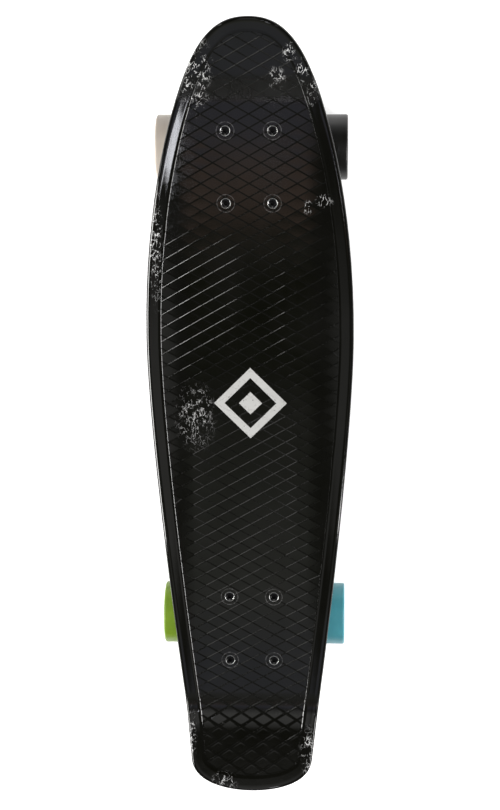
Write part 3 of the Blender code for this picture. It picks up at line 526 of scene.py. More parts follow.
treadSize = {"across": 0.0212, "along": 0.0121, "crestHalf": 0.0006, "height": 0.00024, "steps": 4,
             "leastInside": 0.0014, "leastEdge": 0.0014, "floorHold": 0.0003, "edgeStep": 0.0001,
             "shares": (1.0, 0.7, 0.5, 0.35, 0.2), "tailFrom": -0.276, "tailWide": 1.9}
ribSize = {"width": 0.003, "draft": 0.0006, "pitchX": 0.043, "pitchY": 0.054, "rail": 0.009, "pad": 0.058,
           "seatEdge": 0.0435, "seatRise": 0.0005, "leastPocket": 0.00035, "edgeRound": 0.0005,
           "floorRound": 0.0012}
boltSize = {"acrossBoard": 0.0413, "alongBoard": 0.0635, "shank": 0.0024, "head": 0.0048, "headDeep": 0.0026,
            "length": 0.0254, "play": 0.0003, "socket": 0.0042, "socketDeep": 0.0020, "rim": 0.0008,
            "rimHigh": 0.0003, "rimRound": 0.0002, "threadFrom": 0.014, "threadDeep": 0.0003,
            "nutFlats": 0.0095, "nutBore": 0.0027, "nutHeight": 0.0040, "nutHex": 0.0032}
threadPitch = 0.00106

blackDeck = deckPlastic("blackDeck", deckLook["rimGloss"])
printedDeck = deckPlastic("printedDeck", deckLook["gloss"], printed=True)
deckSide = deckPlastic("deckSide", deckLook["side"], specular=deckLook["sideSpecular"])
print("materials ready")


def upturn(distance, radius, angle):
    if distance <= 0:
        return 0.0
    bend = radius * math.sin(angle)
    if distance < bend:
        return radius - math.sqrt(radius * radius - distance * distance)
    return radius * (1 - math.cos(angle)) + (distance - bend) * math.tan(angle)


def deckRise(x, y):
    s = deckSize
    nose = upturn(y - s["frontBolts"] - s["noseStart"], s["noseRadius"], math.radians(s["noseAngle"]))
    tail = upturn(s["rearBolts"] - s["tailStart"] - y, s["tailRadius"], math.radians(s["tailAngle"]))
    past = max(0.0, abs(x) - s["flatHalf"]) / (s["width"] / 2 - s["flatHalf"])
    return nose + tail + s["concave"] * past ** 2


def deckOutline():
    s = deckSize
    half = s["length"] / 2
    tip, end = Vector((0, half)), Vector((0, -half))
    shoulder = Vector((s["shoulderX"], half - s["shoulderBack"]))
    widest = Vector((s["width"] / 2, s["widestY"]))
    corner = Vector((s["cornerX"], s["cornerBack"] - half))
    backOut = Vector((s["shoulderSlope"], -1)).normalized()
    backIn = Vector((-s["tailSlope"], -1)).normalized()
    stretches = [
        (tip, tip + Vector((s["tipHandle"], 0)), shoulder - backOut * s["capHandle"], shoulder),
        (shoulder, shoulder + backOut * s["sideHandle"], widest + Vector((0, s["frontWaist"])), widest),
        (widest, widest - Vector((0, s["rearWaist"])), corner - backIn * s["tailSide"], corner),
        (corner, corner + backIn * s["tailCorner"], end + Vector((s["tailEnd"], 0)), end),
    ]
    right = []
    for handles, steps in zip(stretches, s["steps"]):
        curve = interpolate_bezier(*(p.to_3d() for p in handles), steps + 1)
        right += [p.to_2d() for p in curve[:-1]]
    right.append(end)
    return right + [Vector((-p.x, p.y)) for p in reversed(right[1:-1])]


def evenPlaces(low, high, pitch):
    count = max(1, round((high - low) / pitch))
    return [low + (high - low) * i / count for i in range(1, count)]


def ribPlaces():
    s, r = deckSize, ribSize
    half = s["length"] / 2
    front = (s["frontBolts"] - r["pad"], s["frontBolts"] + r["pad"])
    rear = (s["rearBolts"] - r["pad"], s["rearBolts"] + r["pad"])
    tailStart = s["rearBolts"] - s["tailStart"]
    places = [*front, *rear, tailStart]
    for low, high in ((rear[1], front[0]), (front[1], half), (-half, tailStart)):
        places += evenPlaces(low, high, r["pitchY"])
    return places


def overTruck(y):
    s, r = deckSize, ribSize
    front = abs(y - s["frontBolts"]) < r["pad"]
    rear = s["rearBolts"] - s["tailStart"] < y < s["rearBolts"] + r["pad"]
    return front or rear


def selectCap(obj, up):
    # the one large face on top or below
    bm = bmesh.from_edit_mesh(obj.data)
    best = max(bm.faces, key=lambda f: (f.normal.z if up else -f.normal.z) * f.calc_area()).index
    selectFaces(obj, lambda face: face.index == best)


def mark(obj, slotIndex, wanted=lambda face: face.select):
    bm = bmesh.from_edit_mesh(obj.data)
    for face in bm.faces:
        if wanted(face):
            face.material_index = slotIndex
    bmesh.update_edit_mesh(obj.data)


def insideRadius(face):
    # about the radius of the largest circle that the face holds
    return 2 * face.calc_area() / face.calc_perimeter()


def holdsInset(face, thick):
    # whether every edge keeps some length when the face is inset by this much
    for loop in face.loops:
        corners = [corner for corner in (loop, loop.link_loop_next) if corner.is_convex]
        lost = sum(1 / math.tan(max(0.02, corner.calc_angle() / 2)) for corner in corners)
        if loop.edge.calc_length() < thick * lost + 0.0001:
            return False
    return True


def pressTread(deck):
    # lozenges: two families of cuts, then each cell steps down to its floor
    s, t = deckSize, treadSize
    tread = lambda face: face.material_index == 1
    slope = t["along"] / t["across"]
    reach = s["length"] / 2 + s["width"] / 2 * slope
    count = int(reach / t["along"]) + 1
    for lean in (slope, -slope):
        for i in range(-count, count + 1):
            bisectFaces(deck, tread, (0, t["along"] * (i + 0.5), 0), (-lean, 1, 0))
    rounding = [(1 - math.cos(math.pi * i / t["steps"])) / 2 for i in range(t["steps"] + 1)]
    selectFaces(deck, tread)
    bpy.ops.mesh.remove_doubles(threshold=t["leastEdge"])   # no slivers where a cut meets the border
    whole = t["crestHalf"] + t["floorHold"]
    floorBelow = -t["edgeStep"] - t["height"] * 0.01
    zones = [(False, share) for share in t["shares"]]
    zones += [(True, share * t["tailWide"]) for share in t["shares"]]
    for tail, share in zones:   # wide walls in the tail, and narrow ones in cells cut short by the border
        selectFaces(deck, lambda face: tread(face) and (face.calc_center_median().y < t["tailFrom"]) == tail
                    and insideRadius(face) > t["leastInside"] * share and holdsInset(face, whole * share))
        for before, after in zip(rounding, rounding[1:]):
            inset(t["crestHalf"] * share / t["steps"], -t["height"] * share * (after - before), each=True)
        inset(t["floorHold"] * share, each=True)
        mark(deck, 3, lambda face: tread(face) and face.calc_center_median().z < floorBelow)
    print("tread pressed")


def pullRibs(deck):
    s, r = deckSize, ribSize
    under = lambda face: face.material_index == 2
    for y in ribPlaces():
        bisectFaces(deck, under, (0, y, 0), (0, 1, 0))
    for i in (-2, -1, 0, 1, 2):
        bisectFaces(deck, under, (i * r["pitchX"], 0, 0), (1, 0, 0))
    edge, floor = r["edgeRound"], r["floorRound"]
    wall = s["thick"] - s["skin"] - edge - floor
    steps = [(r["width"] / 2 - edge * 0.5, 0), (edge * 0.3, -edge * 0.3), (edge * 0.2, -edge * 0.7),
             (r["draft"], -wall), (floor * 0.3, -floor * 0.7), (floor * 0.7, -floor * 0.3)]
    whole = sum(thick for thick, down in steps)
    for share in (1.0, 0.5):
        selectFaces(deck, lambda face: under(face) and not overTruck(face.calc_center_median().y)
                    and face.calc_area() > r["leastPocket"] * share and holdsInset(face, whole * share)
                    and abs(face.calc_center_median().z + s["thick"]) < 1e-5)
        for thick, down in steps:
            inset(thick * share, down, each=True)
    flat = lambda face: under(face) and overTruck(face.calc_center_median().y)
    for x in (-s["flatHalf"], s["flatHalf"]):
        bisectFaces(deck, flat, (x, 0, 0), (1, 0, 0))
    for centreY in (s["frontBolts"], s["rearBolts"]):
        for y in (centreY - r["seatEdge"], centreY + r["seatEdge"]):
            bisectFaces(deck, flat, (0, y, 0), (0, 1, 0))

    def isStrip(face):
        middle = face.calc_center_median()
        off = min(abs(middle.y - s["frontBolts"]), abs(middle.y - s["rearBolts"]))
        return flat(face) and abs(middle.x) < s["flatHalf"] and r["seatEdge"] < off < r["pad"]

    selectFaces(deck, isStrip)
    inset(r["draft"], -r["seatRise"])
    print("ribs pulled")


def curveDeck(deck):
    # stations let the ends and the cupped sides curve
    s = deckSize
    for i in range(s["bendRows"] + 1):
        for start, radius, angle, sign in (
                (s["frontBolts"] + s["noseStart"], s["noseRadius"], s["noseAngle"], 1),
                (s["rearBolts"] - s["tailStart"], s["tailRadius"], s["tailAngle"], -1)):
            bend = radius * math.sin(math.radians(angle))
            station = start + sign * bend * i / s["bendRows"]
            bisectFaces(deck, lambda face: True, (0, station, 0), (0, 1, 0))
    for x in s["cupLines"]:
        for sign in (1, -1):
            bisectFaces(deck, lambda face: face.material_index == 2, (sign * x, 0, 0), (1, 0, 0))
    faceOutwards()
    for vert in deck.data.vertices:
        vert.co.z += s["topZ"] + deckRise(vert.co.x, vert.co.y)


def makeDeck():
    s, t, r = deckSize, treadSize, ribSize
    outline = [(p.x, p.y, -s["thick"]) for p in deckOutline()]
    deck = pulled("deckShell", outline, (0, 0, s["thick"]))
    for mat in (blackDeck, printedDeck, blackDeck, printedDeck, deckSide):
        deck.data.materials.append(mat)   # 0 rim, 1 tread crests, 2 underside, 3 tread floors, 4 sides
    pick(deck)
    bpy.ops.object.mode_set(mode="EDIT")
    for up, width in ((True, s["roundTop"]), (False, s["roundBottom"])):
        selectCap(deck, up)
        bpy.ops.mesh.bevel(offset_type="OFFSET", offset=width, segments=8, profile=0.5,
                           affect="EDGES", clamp_overlap=False)
    selectFaces(deck, lambda face: abs(face.normal.z) < 0.85)
    mark(deck, 4)
    selectCap(deck, True)
    for i in range(s["bandRows"]):   # rows along the smooth border let it follow the cupped sides
        inset((s["border"] - s["roundTop"] - s["edgeRow"]) / s["bandRows"])
    inset(s["edgeRow"], -t["edgeStep"])
    mark(deck, 1)
    selectCap(deck, False)
    inset(r["rail"] - s["roundBottom"])
    mark(deck, 2)
    print("deck blank drawn")
    pressTread(deck)
    pullRibs(deck)
    curveDeck(deck)
    cutter = boltHole("deckDrill")
    for centreY in (s["frontBolts"], s["rearBolts"]):
        for x, y in boltPlaces(centreY):
            drill = place(copyOf(cutter, "deckDrillAt"), Matrix.Translation((x, y, s["topZ"])))
            combine(deck, drill, "DIFFERENCE")
    remove(cutter)
    shade(deck, 12)   # keeps the corners of the tread walls crisp, so that each wall mirrors evenly
    fit(deck, "board", "deck", "deck_plastic")
    print("deck done,", len(deck.data.polygons), "faces")


def boltPlaces(centreY):
    x, y = boltSize["acrossBoard"] / 2, boltSize["alongBoard"] / 2
    return [(sx * x, centreY + sy * y) for sx in (-1, 1) for sy in (-1, 1)]


def boltHole(name):
    b = boltSize
    bore, mouth = b["shank"] + b["play"], b["head"] + b["play"]
    through, above = -0.014, 0.002
    return turned(name, [(0, through), (bore, through), (bore, -b["headDeep"]), (mouth, 0), (mouth, above),
                         (0, above)], 32)


def threadSection(radius, low, high, depth):
    # crests and roots down a shank, from high to low
    points = []
    count = int((high - low) / threadPitch)
    for i in range(count):
        z = high - i * threadPitch
        points += [(radius - depth, z), (radius, z - threadPitch * 0.35), (radius, z - threadPitch * 0.55)]
    points.append((radius - depth, high - count * threadPitch))
    return points


def makeMountingHardware():
    b, s = boltSize, deckSize
    head, shank, end, edge = b["head"], b["shank"], -b["length"], b["rimRound"]
    top, inner = -b["play"], b["head"] - b["rim"]
    face = top - b["rimHigh"]
    section = [(0, face), (inner - edge, face), (inner, top - 0.0001), (inner + edge, top),
               (head - edge, top), (head, top - 0.0003), (shank, top - b["headDeep"])]
    section += threadSection(shank, end + 0.0004, -b["threadFrom"], b["threadDeep"])
    section += [(shank - 0.0006, end), (0, end)]
    bolt = turned("mountBolt", section, 28)
    combine(bolt, hexBlock(b["socket"] / math.sqrt(3), face - b["socketDeep"], face + b["socketDeep"]),
            "DIFFERENCE")
    shade(bolt, 30)
    nut = lockNut("mountNut", b["nutFlats"], b["nutBore"], b["nutHeight"], b["nutHex"])
    nutTop = s["topZ"] - s["thick"] - truckSize["plateThick"] - 2 * b["play"]
    for endName, centreY in (("front", s["frontBolts"]), ("rear", s["rearBolts"])):
        for i, (x, y) in enumerate(boltPlaces(centreY), 1):
            at = install(bolt, Matrix.Translation((x, y, s["topZ"])), "board", f"{endName}_mount_bolt_{i}",
                         "black_zinc")
            bareRim(at, x, y)
            turn = Matrix.Rotation(math.radians(17 * i + (40 if endName == "rear" else 0)), 4, "Z")
            flip = Matrix.Rotation(math.pi, 4, "X")   # the nut's collar looks down
            install(nut, Matrix.Translation((x, y, nutTop)) @ turn @ flip, "board",
                    f"{endName}_mount_nut_{i}", "zinc_steel")
    remove(bolt, nut)
    print("mounting bolts and nuts done")


def bareRim(bolt, x, y):
    # the plating is worn off the rim of each head
    b, top = boltSize, deckSize["topZ"]
    bolt.data.materials.append(slotMaterials["zinc_steel"])
    for face in bolt.data.polygons:
        out = math.hypot(face.center.x - x, face.center.y - y)
        if out > b["head"] - b["rim"] - 0.0001 and face.center.z > top - b["play"] - 0.0003:
            face.material_index = 1


def lockNut(name, flats, bore, height, hexHeight):
    # hexagon with round-chamfered corners, a crimped collar on top and a threaded bore;
    # the middle of the hexagon's height is the nut's own zero
    corner, flat, cut = flats / math.sqrt(3), flats / 2 * 0.93, 0.12 * flats
    nut = hexBlock(corner, 0, hexHeight)
    nut.name = name
    wide = corner * 1.02
    limit = turned(name + "Limit", [(0, -cut * 0.3), (flat, -cut * 0.05), (wide, cut * 0.30),
                                    (wide, hexHeight - cut * 0.30), (flat, hexHeight),
                                    (0, hexHeight + cut * 0.3)], 48)
    combine(nut, limit, "INTERSECT")
    collar, low = flats / 2 * 0.88, hexHeight - 0.0005
    top = turned(name + "Collar", [(0, low), (collar, low), (collar, height - 0.0009),
                                   (collar - 0.0003, height - 0.0003), (collar - 0.0009, height),
                                   (0, height)], 48)
    combine(nut, top, "UNION")
    mouth, past = bore + 0.0004, 0.001
    hole = [(0, -past), (mouth, -past), (mouth, 0.0001), (bore, 0.0005), (bore, height + past),
            (0, height + past)]
    combine(nut, turned(name + "Bore", hole, 32), "DIFFERENCE")
    return shade(nut, 28)


truckSize = {
    "height": 0.056, "gap": 0.0003,
    "plateWidth": 0.056, "plateLength": 0.086, "plateThick": 0.005, "plateCorner": 0.008,
    "kingBoss": 0.0135, "kingFlare": 0.003, "pivotBoss": 0.0110, "pivotBack": 0.0110, "pivotFront": 0.0070,
    "lean": 20, "seatY": -0.008, "seatDrop": 0.013, "kingpin": 0.00475, "headFlats": 0.0140,
    "headHeight": 0.0055, "headSunk": 0.0032, "kingTail": 0.0022,
    "boardWasher": 0.0118, "roadWasher": 0.0102, "washerThick": 0.0015, "washerSheet": 0.0007,
    "bushing": 0.0115, "boardBushing": 0.015, "roadBushing": 0.010, "roadBushingEnd": 0.0095,
    "bushingRound": 0.0012, "nutFlats": 0.0143, "nutHeight": 0.0072, "nutHex": 0.0055,
    "ring": 0.0160, "ringThick": 0.008, "ringBore": 0.0063,
    "hangerLength": 0.1016, "tube": 0.0095, "tubeEnd": 0.0070, "taperStart": 0.036, "tubeRound": 0.0006,
    "wingTop": 0.0115, "wingBottom": 0.038, "arm": 0.0068, "armLength": 0.033, "spineHalf": 0.0060,
    "axleOut": 0.010, "pivotY": 0.027, "pivotDrop": 0.011, "pivotNose": 0.0060, "pivotNeck": 0.0054,
    "pivotPlay": 0.0004, "cupWall": 0.0020, "webInset": 0.003, "webThin": 0.0006, "webShare": 0.75,
    "armShare": 0.6, "armTop": 0.016, "armFlare": 0.008, "armRound": 0.004,
    "axle": 0.0039, "axlePast": 0.0012, "kingThread": 0.0120, "axleThread": 0.0104,
    "plateSpare": 0.004, "plateVoxel": 0.0006, "hangerVoxel": 0.00055, "smoothing": 5,
}


def truckPoints():
    # places in the truck's own frame: z = 0 is the underside of the deck, +Y points to the board's end
    t = truckSize
    lean, g = math.radians(t["lean"]), t["gap"]
    p = {"axle": Vector((0, t["axleOut"], -t["height"])),
         "pivot": Vector((0, t["pivotY"], -t["pivotDrop"])),
         "pivotIn": Vector((0, -math.cos(math.pi / 4), -math.sin(math.pi / 4))),
         "down": Vector((0, -math.sin(lean), -math.cos(lean))),
         "across": Vector((0, math.cos(lean), -math.sin(lean))),
         "seat": Vector((0, t["seatY"], -t["seatDrop"]))}
    at = {"boardWasher": g}   # distances down the kingpin
    at["boardBushing"] = at["boardWasher"] + t["washerThick"] + g
    at["ring"] = at["boardBushing"] + t["boardBushing"] + g
    at["roadBushing"] = at["ring"] + t["ringThick"] + g
    at["roadWasher"] = at["roadBushing"] + t["roadBushing"] + g
    at["nut"] = at["roadWasher"] + t["washerThick"] + g
    at["end"] = at["nut"] + t["nutHeight"] + t["kingTail"]
    at["head"] = (t["headSunk"] - t["seatDrop"]) / math.cos(lean)
    p["at"] = at
    p["ring"] = p["seat"] + p["down"] * (at["ring"] + t["ringThick"] / 2)
    p["kingLine"] = facing(p["down"], p["seat"])
    p["pivotLine"] = facing(p["pivotIn"], p["pivot"])
    p["ringLine"] = facing(p["down"], p["ring"])
    p["axleLine"] = facing((1, 0, 0), p["axle"])
    return p


underDeck = deckSize["topZ"] - deckSize["thick"]
truckEnds = {"front": Matrix.Translation((0, deckSize["frontBolts"], underDeck)),
             "rear": Matrix.Translation((0, deckSize["rearBolts"], underDeck))
             @ Matrix.Rotation(math.pi, 4, "Z")}


def roundedBox(width, length, corner, steps, z):
    points = []
    for quarter, (sx, sy) in enumerate([(1, 1), (-1, 1), (-1, -1), (1, -1)]):
        cx, cy = sx * (width / 2 - corner), sy * (length / 2 - corner)
        for i in range(steps + 1):
            angle = (quarter + i / steps) * math.pi / 2
            points.append((cx + corner * math.cos(angle), cy + corner * math.sin(angle), z))
    return points


def makeBaseplate():
    t, p, b = truckSize, truckPoints(), boltSize
    top, past = -t["gap"], 0.002
    bottom = top - t["plateThick"]
    outline = roundedBox(t["plateWidth"], t["plateLength"], t["plateCorner"], 8, bottom)
    plate = pulled("baseplate", outline, (0, 0, top + t["plateSpare"] - bottom))
    king, pivot = t["kingBoss"], t["pivotBoss"]
    bossStart = p["at"]["head"] - t["plateThick"] - king * math.tan(math.radians(t["lean"]))
    base = king + t["kingFlare"]
    boss = turned("kingBoss", [(0, bossStart), (base, bossStart), (base, -t["plateThick"]), (king, 0),
                               (0, 0)], 48)
    combine(plate, place(boss, p["kingLine"]), "UNION")
    back, front, bevel = -t["pivotBack"], t["pivotFront"], 0.002
    house = turned("pivotHouse", [(0, back), (pivot - bevel, back), (pivot, back + bevel), (pivot, front),
                                  (0, front)], 48)
    combine(plate, place(house, p["pivotLine"]), "UNION")
    castForm(plate, t["plateVoxel"], t["smoothing"])
    clearSelection()
    high = 0.06
    bpy.ops.mesh.primitive_cube_add(size=1, location=(0, 0, top + high / 2))
    above = bpy.context.object   # cuts the spare metal off for a flat top
    above.scale = (0.08, 0.12, high)
    bpy.ops.object.transform_apply(location=True, rotation=True, scale=True)
    combine(plate, above, "DIFFERENCE")
    for x, y in boltPlaces(0):
        hole = rod("plateHole", b["shank"] + b["play"], bottom - past, top + past, 32)
        combine(plate, place(hole, Matrix.Translation((x, y, 0))), "DIFFERENCE")
    floor = p["at"]["head"] + t["headHeight"] + t["gap"]
    pocket = hexBlock(t["headFlats"] / math.sqrt(3) + t["gap"], bossStart, floor)
    combine(plate, place(pocket, p["kingLine"] @ Matrix.Translation(pocket.location)), "DIFFERENCE")
    bore = rod("kingBore", t["kingpin"] + t["gap"], floor - 0.001, past, 32)
    combine(plate, place(bore, p["kingLine"]), "DIFFERENCE")
    socket = t["pivotNose"] + t["pivotPlay"] + t["cupWall"] + t["gap"]
    mouth = front + past
    cup = [(0, -socket)] + arc((0, 0), socket, -80, 0, 8) + [(socket, mouth), (0, mouth)]
    combine(plate, place(turned("cupBore", cup, 40), p["pivotLine"]), "DIFFERENCE")
    return shade(plate, 40)


def makeHanger():
    t, p = truckSize, truckPoints()
    axle, ring, down, inward = p["axle"], p["ring"], p["down"], p["pivotIn"]
    half, tube, tubeEnd, soft = t["hangerLength"] / 2, t["tube"], t["tubeEnd"], t["tubeRound"]
    body = turned("hanger", [(0, -half), (tubeEnd - soft, -half), (tubeEnd, -half + soft),
                             (tube, -t["taperStart"]), (tube, t["taperStart"]),
                             (tubeEnd, half - soft), (tubeEnd - soft, half), (0, half)], 48)
    place(body, p["axleLine"])
    near = p["across"] * (t["ring"] - t["webInset"])
    thick = down * (t["ringThick"] / 2 - t["webThin"])
    side = (axle - ring).normalized()
    side = Vector((0, -side.z, side.y)) * (tube * t["webShare"])
    corners = [ring + near + thick, axle - side, axle + side, ring + near - thick]
    web = slab("hangerWeb", corners, [t["wingTop"], t["wingBottom"], t["wingBottom"], t["wingTop"]])
    combine(body, web, "UNION")
    outward = Vector((0, -inward.z, inward.y))
    reach, armBase = outward * (t["arm"] * t["armShare"]), t["armLength"] - t["armRound"]
    armTop, armEnd = p["pivot"] + inward * t["armTop"], p["pivot"] + inward * armBase
    corners = [ring + near + thick, axle, axle + outward * tube * t["webShare"], armTop + reach,
               armTop - reach, armEnd - reach, ring + near - thick]
    combine(body, slab("hangerSpine", corners, [t["spineHalf"]] * 7), "UNION")
    eyeHalf = t["ringThick"] / 2
    combine(body, place(rod("hangerEye", t["ring"], -eyeHalf, eyeHalf, 48), p["ringLine"]), "UNION")
    neck, nose = t["pivotFront"], t["pivotNose"]
    tip = [(nose * math.sin(math.radians(a)), -nose * math.cos(math.radians(a))) for a in range(15, 91, 15)]
    arm = turned("hangerArm", [(0, -nose)] + tip + [(t["pivotNeck"], neck), (t["arm"], neck + t["armFlare"]),
                                                    (t["arm"], armBase), (t["arm"] - 0.002, t["armLength"]),
                                                    (0, t["armLength"])], 40)
    combine(body, place(arm, p["pivotLine"]), "UNION")
    castForm(body, t["hangerVoxel"], t["smoothing"])
    bore = rod("axleBore", t["axle"] + t["gap"], -half - 0.002, half + 0.002, 40)
    combine(body, place(bore, p["axleLine"]), "DIFFERENCE")
    combine(body, place(rod("eyeBore", t["ringBore"], -0.01, 0.01, 48), p["ringLine"]), "DIFFERENCE")
    return shade(body, 40)


def makeKingpin():
    t, p = truckSize, truckPoints()
    head, end, shank = p["at"]["head"], p["at"]["end"], t["kingpin"]
    under = head + t["headHeight"]
    section = [(0, under - 0.0005), (shank, under - 0.0005), (shank, end - t["kingThread"] - 0.0002)]
    section += reversed(threadSection(shank, end - t["kingThread"], end - 0.0004, 0.0005))
    section += [(shank - 0.001, end), (0, end)]
    pin = turned("kingpin", section, 36)
    block = hexBlock(t["headFlats"] / math.sqrt(3), head, under)
    modify(block, "edges", "BEVEL", width=0.0004, segments=2, limit_method="ANGLE",
           angle_limit=math.radians(30), use_clamp_overlap=True)
    combine(pin, block, "UNION")
    return shade(place(pin, p["kingLine"]), 28)


def makeWasher(name, cup):
    # a cupped washer: flat middle and a rim that hugs the bushing
    t, p = truckSize, truckPoints()
    bore, radius, high, sheet = t["kingpin"] + t["gap"], t[name], t["washerThick"], t["washerSheet"]
    low = [(bore, 0), (radius - 0.0010, 0), (radius - 0.0003, 0.0003), (radius, high * 0.6),
           (radius, high - 0.0002), (radius - 0.0002, high), (radius - 0.0008, high),
           (radius - 0.0012, sheet + 0.0002), (radius - 0.0022, sheet), (bore, sheet)]
    section = [(r, p["at"][name] + (z if cup else high - z)) for r, z in low]
    return shade(place(turned(name, section, 56, ring=True), p["kingLine"]), 30)


def makeBushing(name, farRadius):
    t, p = truckSize, truckPoints()
    bore, r, soft, height = t["kingpin"] + t["gap"], t["bushing"], t["bushingRound"], t[name]
    section = [(bore, 0)] + arc((r - soft, soft), soft, -90, 0, 5)
    if farRadius != r:
        section.append((r - 0.0002 - (r - farRadius) * 0.5, height * 0.5))
    section += arc((farRadius - soft, height - soft), soft, 0, 90, 5) + [(bore, height)]
    section = [(a, b + p["at"][name]) for a, b in section]
    return shade(place(turned(name, section, 56, ring=True), p["kingLine"]), 35)


def makePivotCup():
    t, p = truckSize, truckPoints()
    inside = t["pivotNose"] + t["pivotPlay"]
    outside, mouth, edge = inside + t["cupWall"], t["pivotFront"] - t["gap"], 0.0003
    section = [(0, -outside)] + arc((0, 0), outside, -80, 0, 8)
    section += [(outside, mouth - edge), (outside - edge, mouth), (inside + edge, mouth),
                (inside, mouth - edge)]
    section += arc((0, 0), inside, 0, -80, 8) + [(0, -inside)]
    return shade(place(turned("pivotCup", section, 40), p["pivotLine"]), 35)


wheelSize = {"radius": 0.0295, "width": 0.045, "lipRound": 0.0018, "lip": 0.0205, "core": 0.0090,
             "seatDepth": 0.0008, "bearing": 0.0110, "bearingWidth": 0.0070, "spacer": 0.0103,
             "outerRaceInside": 0.0096, "innerRace": 0.0060, "sealInset": 0.0004, "sealGap": 0.00045,
             "sealDip": 0.00025, "spacerRadius": 0.0055, "speedWasherRadius": 0.0062, "speedWasher": 0.0010,
             "seamHalf": 0.0005, "seamDeep": 0.00012,
             "nutFlats": 0.0127, "nutHeight": 0.0065, "nutHex": 0.0048}
coreHalf = wheelSize["spacer"] / 2 + wheelSize["bearingWidth"] + wheelSize["speedWasher"]
wheelX = truckSize["hangerLength"] / 2 + truckSize["gap"] + coreHalf   # from the middle of the board


def makeAxle():
    t, p = truckSize, truckPoints()
    end = wheelX + coreHalf + t["gap"] + wheelSize["nutHeight"] + t["axlePast"]
    right = [(t["axle"], 0.02), (t["axle"], end - t["axleThread"] - 0.0002)]
    right += reversed(threadSection(t["axle"], end - t["axleThread"], end - 0.0003, 0.0004))
    right += [(t["axle"] - 0.0009, end), (0, end)]
    left = [(r, -z) for r, z in reversed(right)]
    return shade(place(turned("axle", left + right, 32), p["axleLine"]), 28)


def makeWheelBlank():
    w, gap = wheelSize, truckSize["gap"]
    half, radius, soft, lip, core = w["width"] / 2, w["radius"], w["lipRound"], w["lip"], w["core"]
    seat, shoulder = w["bearing"] + gap, w["spacer"] / 2 - gap
    mouth = w["spacer"] / 2 + w["bearingWidth"] + w["seatDepth"]
    right = [(core, shoulder - 0.0004), (core + 0.0004, shoulder), (seat, shoulder), (seat, mouth - 0.0003),
             (seat + 0.0004, mouth), (seat + 0.0030, mouth + 0.0004), (lip - 0.0030, half - 0.0022),
             (lip - 0.0012, half - 0.0007), (lip + 0.0003, half)]
    right += arc((radius - soft, half - soft), soft, 90, 0, 8)
    right[-1] = (radius, half - soft)
    right += [(radius, w["seamHalf"]), (radius - w["seamDeep"], 0.0002)]   # fine mould seam in the middle
    return shade(place(turned("wheelBlank", bothSides(right), 72, ring=True), facing((1, 0, 0))), 30)


def makeBearingBlank():
    w = wheelSize
    half, race, outer = w["bearingWidth"] / 2, w["outerRaceInside"], w["bearing"]
    seal, lip = half - w["sealInset"], w["innerRace"] + w["sealGap"]
    dip = seal - w["sealDip"]
    right = [(lip, seal - 0.0003), (lip + 0.0002, seal), (lip + 0.0009, seal - 0.0001), (lip + 0.0012, dip),
             (race - 0.0006, dip), (race - 0.0002, seal), (race, seal), (race, half - 0.0002),
             (race + 0.0002, half), (outer - 0.0004, half), (outer, half - 0.0004)]
    return shade(place(turned("bearingBlank", bothSides(right), 48, ring=True), facing((1, 0, 0))), 30)


def makeCoreBlank():
    w, t = wheelSize, truckSize
    bore, near, edge = t["axle"] + t["gap"], w["spacer"] / 2, 0.0001
    far = near + w["bearingWidth"]
    end = far + w["speedWasher"]
    spacer, race, washer = w["spacerRadius"], w["innerRace"], w["speedWasherRadius"]
    right = [(spacer, edge), (spacer, near), (race, near), (race, far - 0.0002), (race - 0.0002, far),
             (washer - edge, far), (washer, far + edge), (washer, end - edge), (washer - edge, end),
             (bore + edge, end), (bore, end - edge)]
    return shade(place(turned("coreBlank", bothSides(right), 40, ring=True), facing((1, 0, 0))), 30)


def makeTrucks():
    t, p = truckSize, truckPoints()
    at = p["at"]
    parts = [
        (makeBaseplate(), "baseplate", "board", "cast_aluminium"),
        (makePivotCup(), "pivot_cup", "board", "cup_nylon"),
        (makeKingpin(), "kingpin", "board", "zinc_steel"),
        (makeWasher("boardWasher", True), "board_washer", "board", "zinc_steel"),
        (makeWasher("roadWasher", False), "road_washer", "board", "zinc_steel"),
        (makeBushing("boardBushing", t["bushing"]), "board_bushing", "both", "bushing_urethane"),
        (makeBushing("roadBushing", t["roadBushingEnd"]), "road_bushing", "both", "bushing_urethane"),
        (makeHanger(), "hanger", "truck", "cast_aluminium"),
        (makeAxle(), "axle", "truck", "zinc_steel"),
    ]
    nut = lockNut("kingNut", t["nutFlats"], t["kingpin"] + t["gap"], t["nutHeight"], t["nutHex"])
    place(nut, p["kingLine"] @ Matrix.Translation((0, 0, at["nut"])))
    parts.append((nut, "kingpin_nut", "board", "zinc_steel"))
    for end, matrix in truckEnds.items():
        truck = end + "_truck"
        for source, node, body, slotName in parts:
            rides = {"board": "board", "truck": truck, "both": None}[body]
            obj = install(source, matrix, rides, f"{end}_{node}", slotName)
            if body == "both":   # the urethane gives way: one end stays with the board, the other turns
                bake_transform(obj)
    remove(*(part[0] for part in parts))
    print("trucks done")


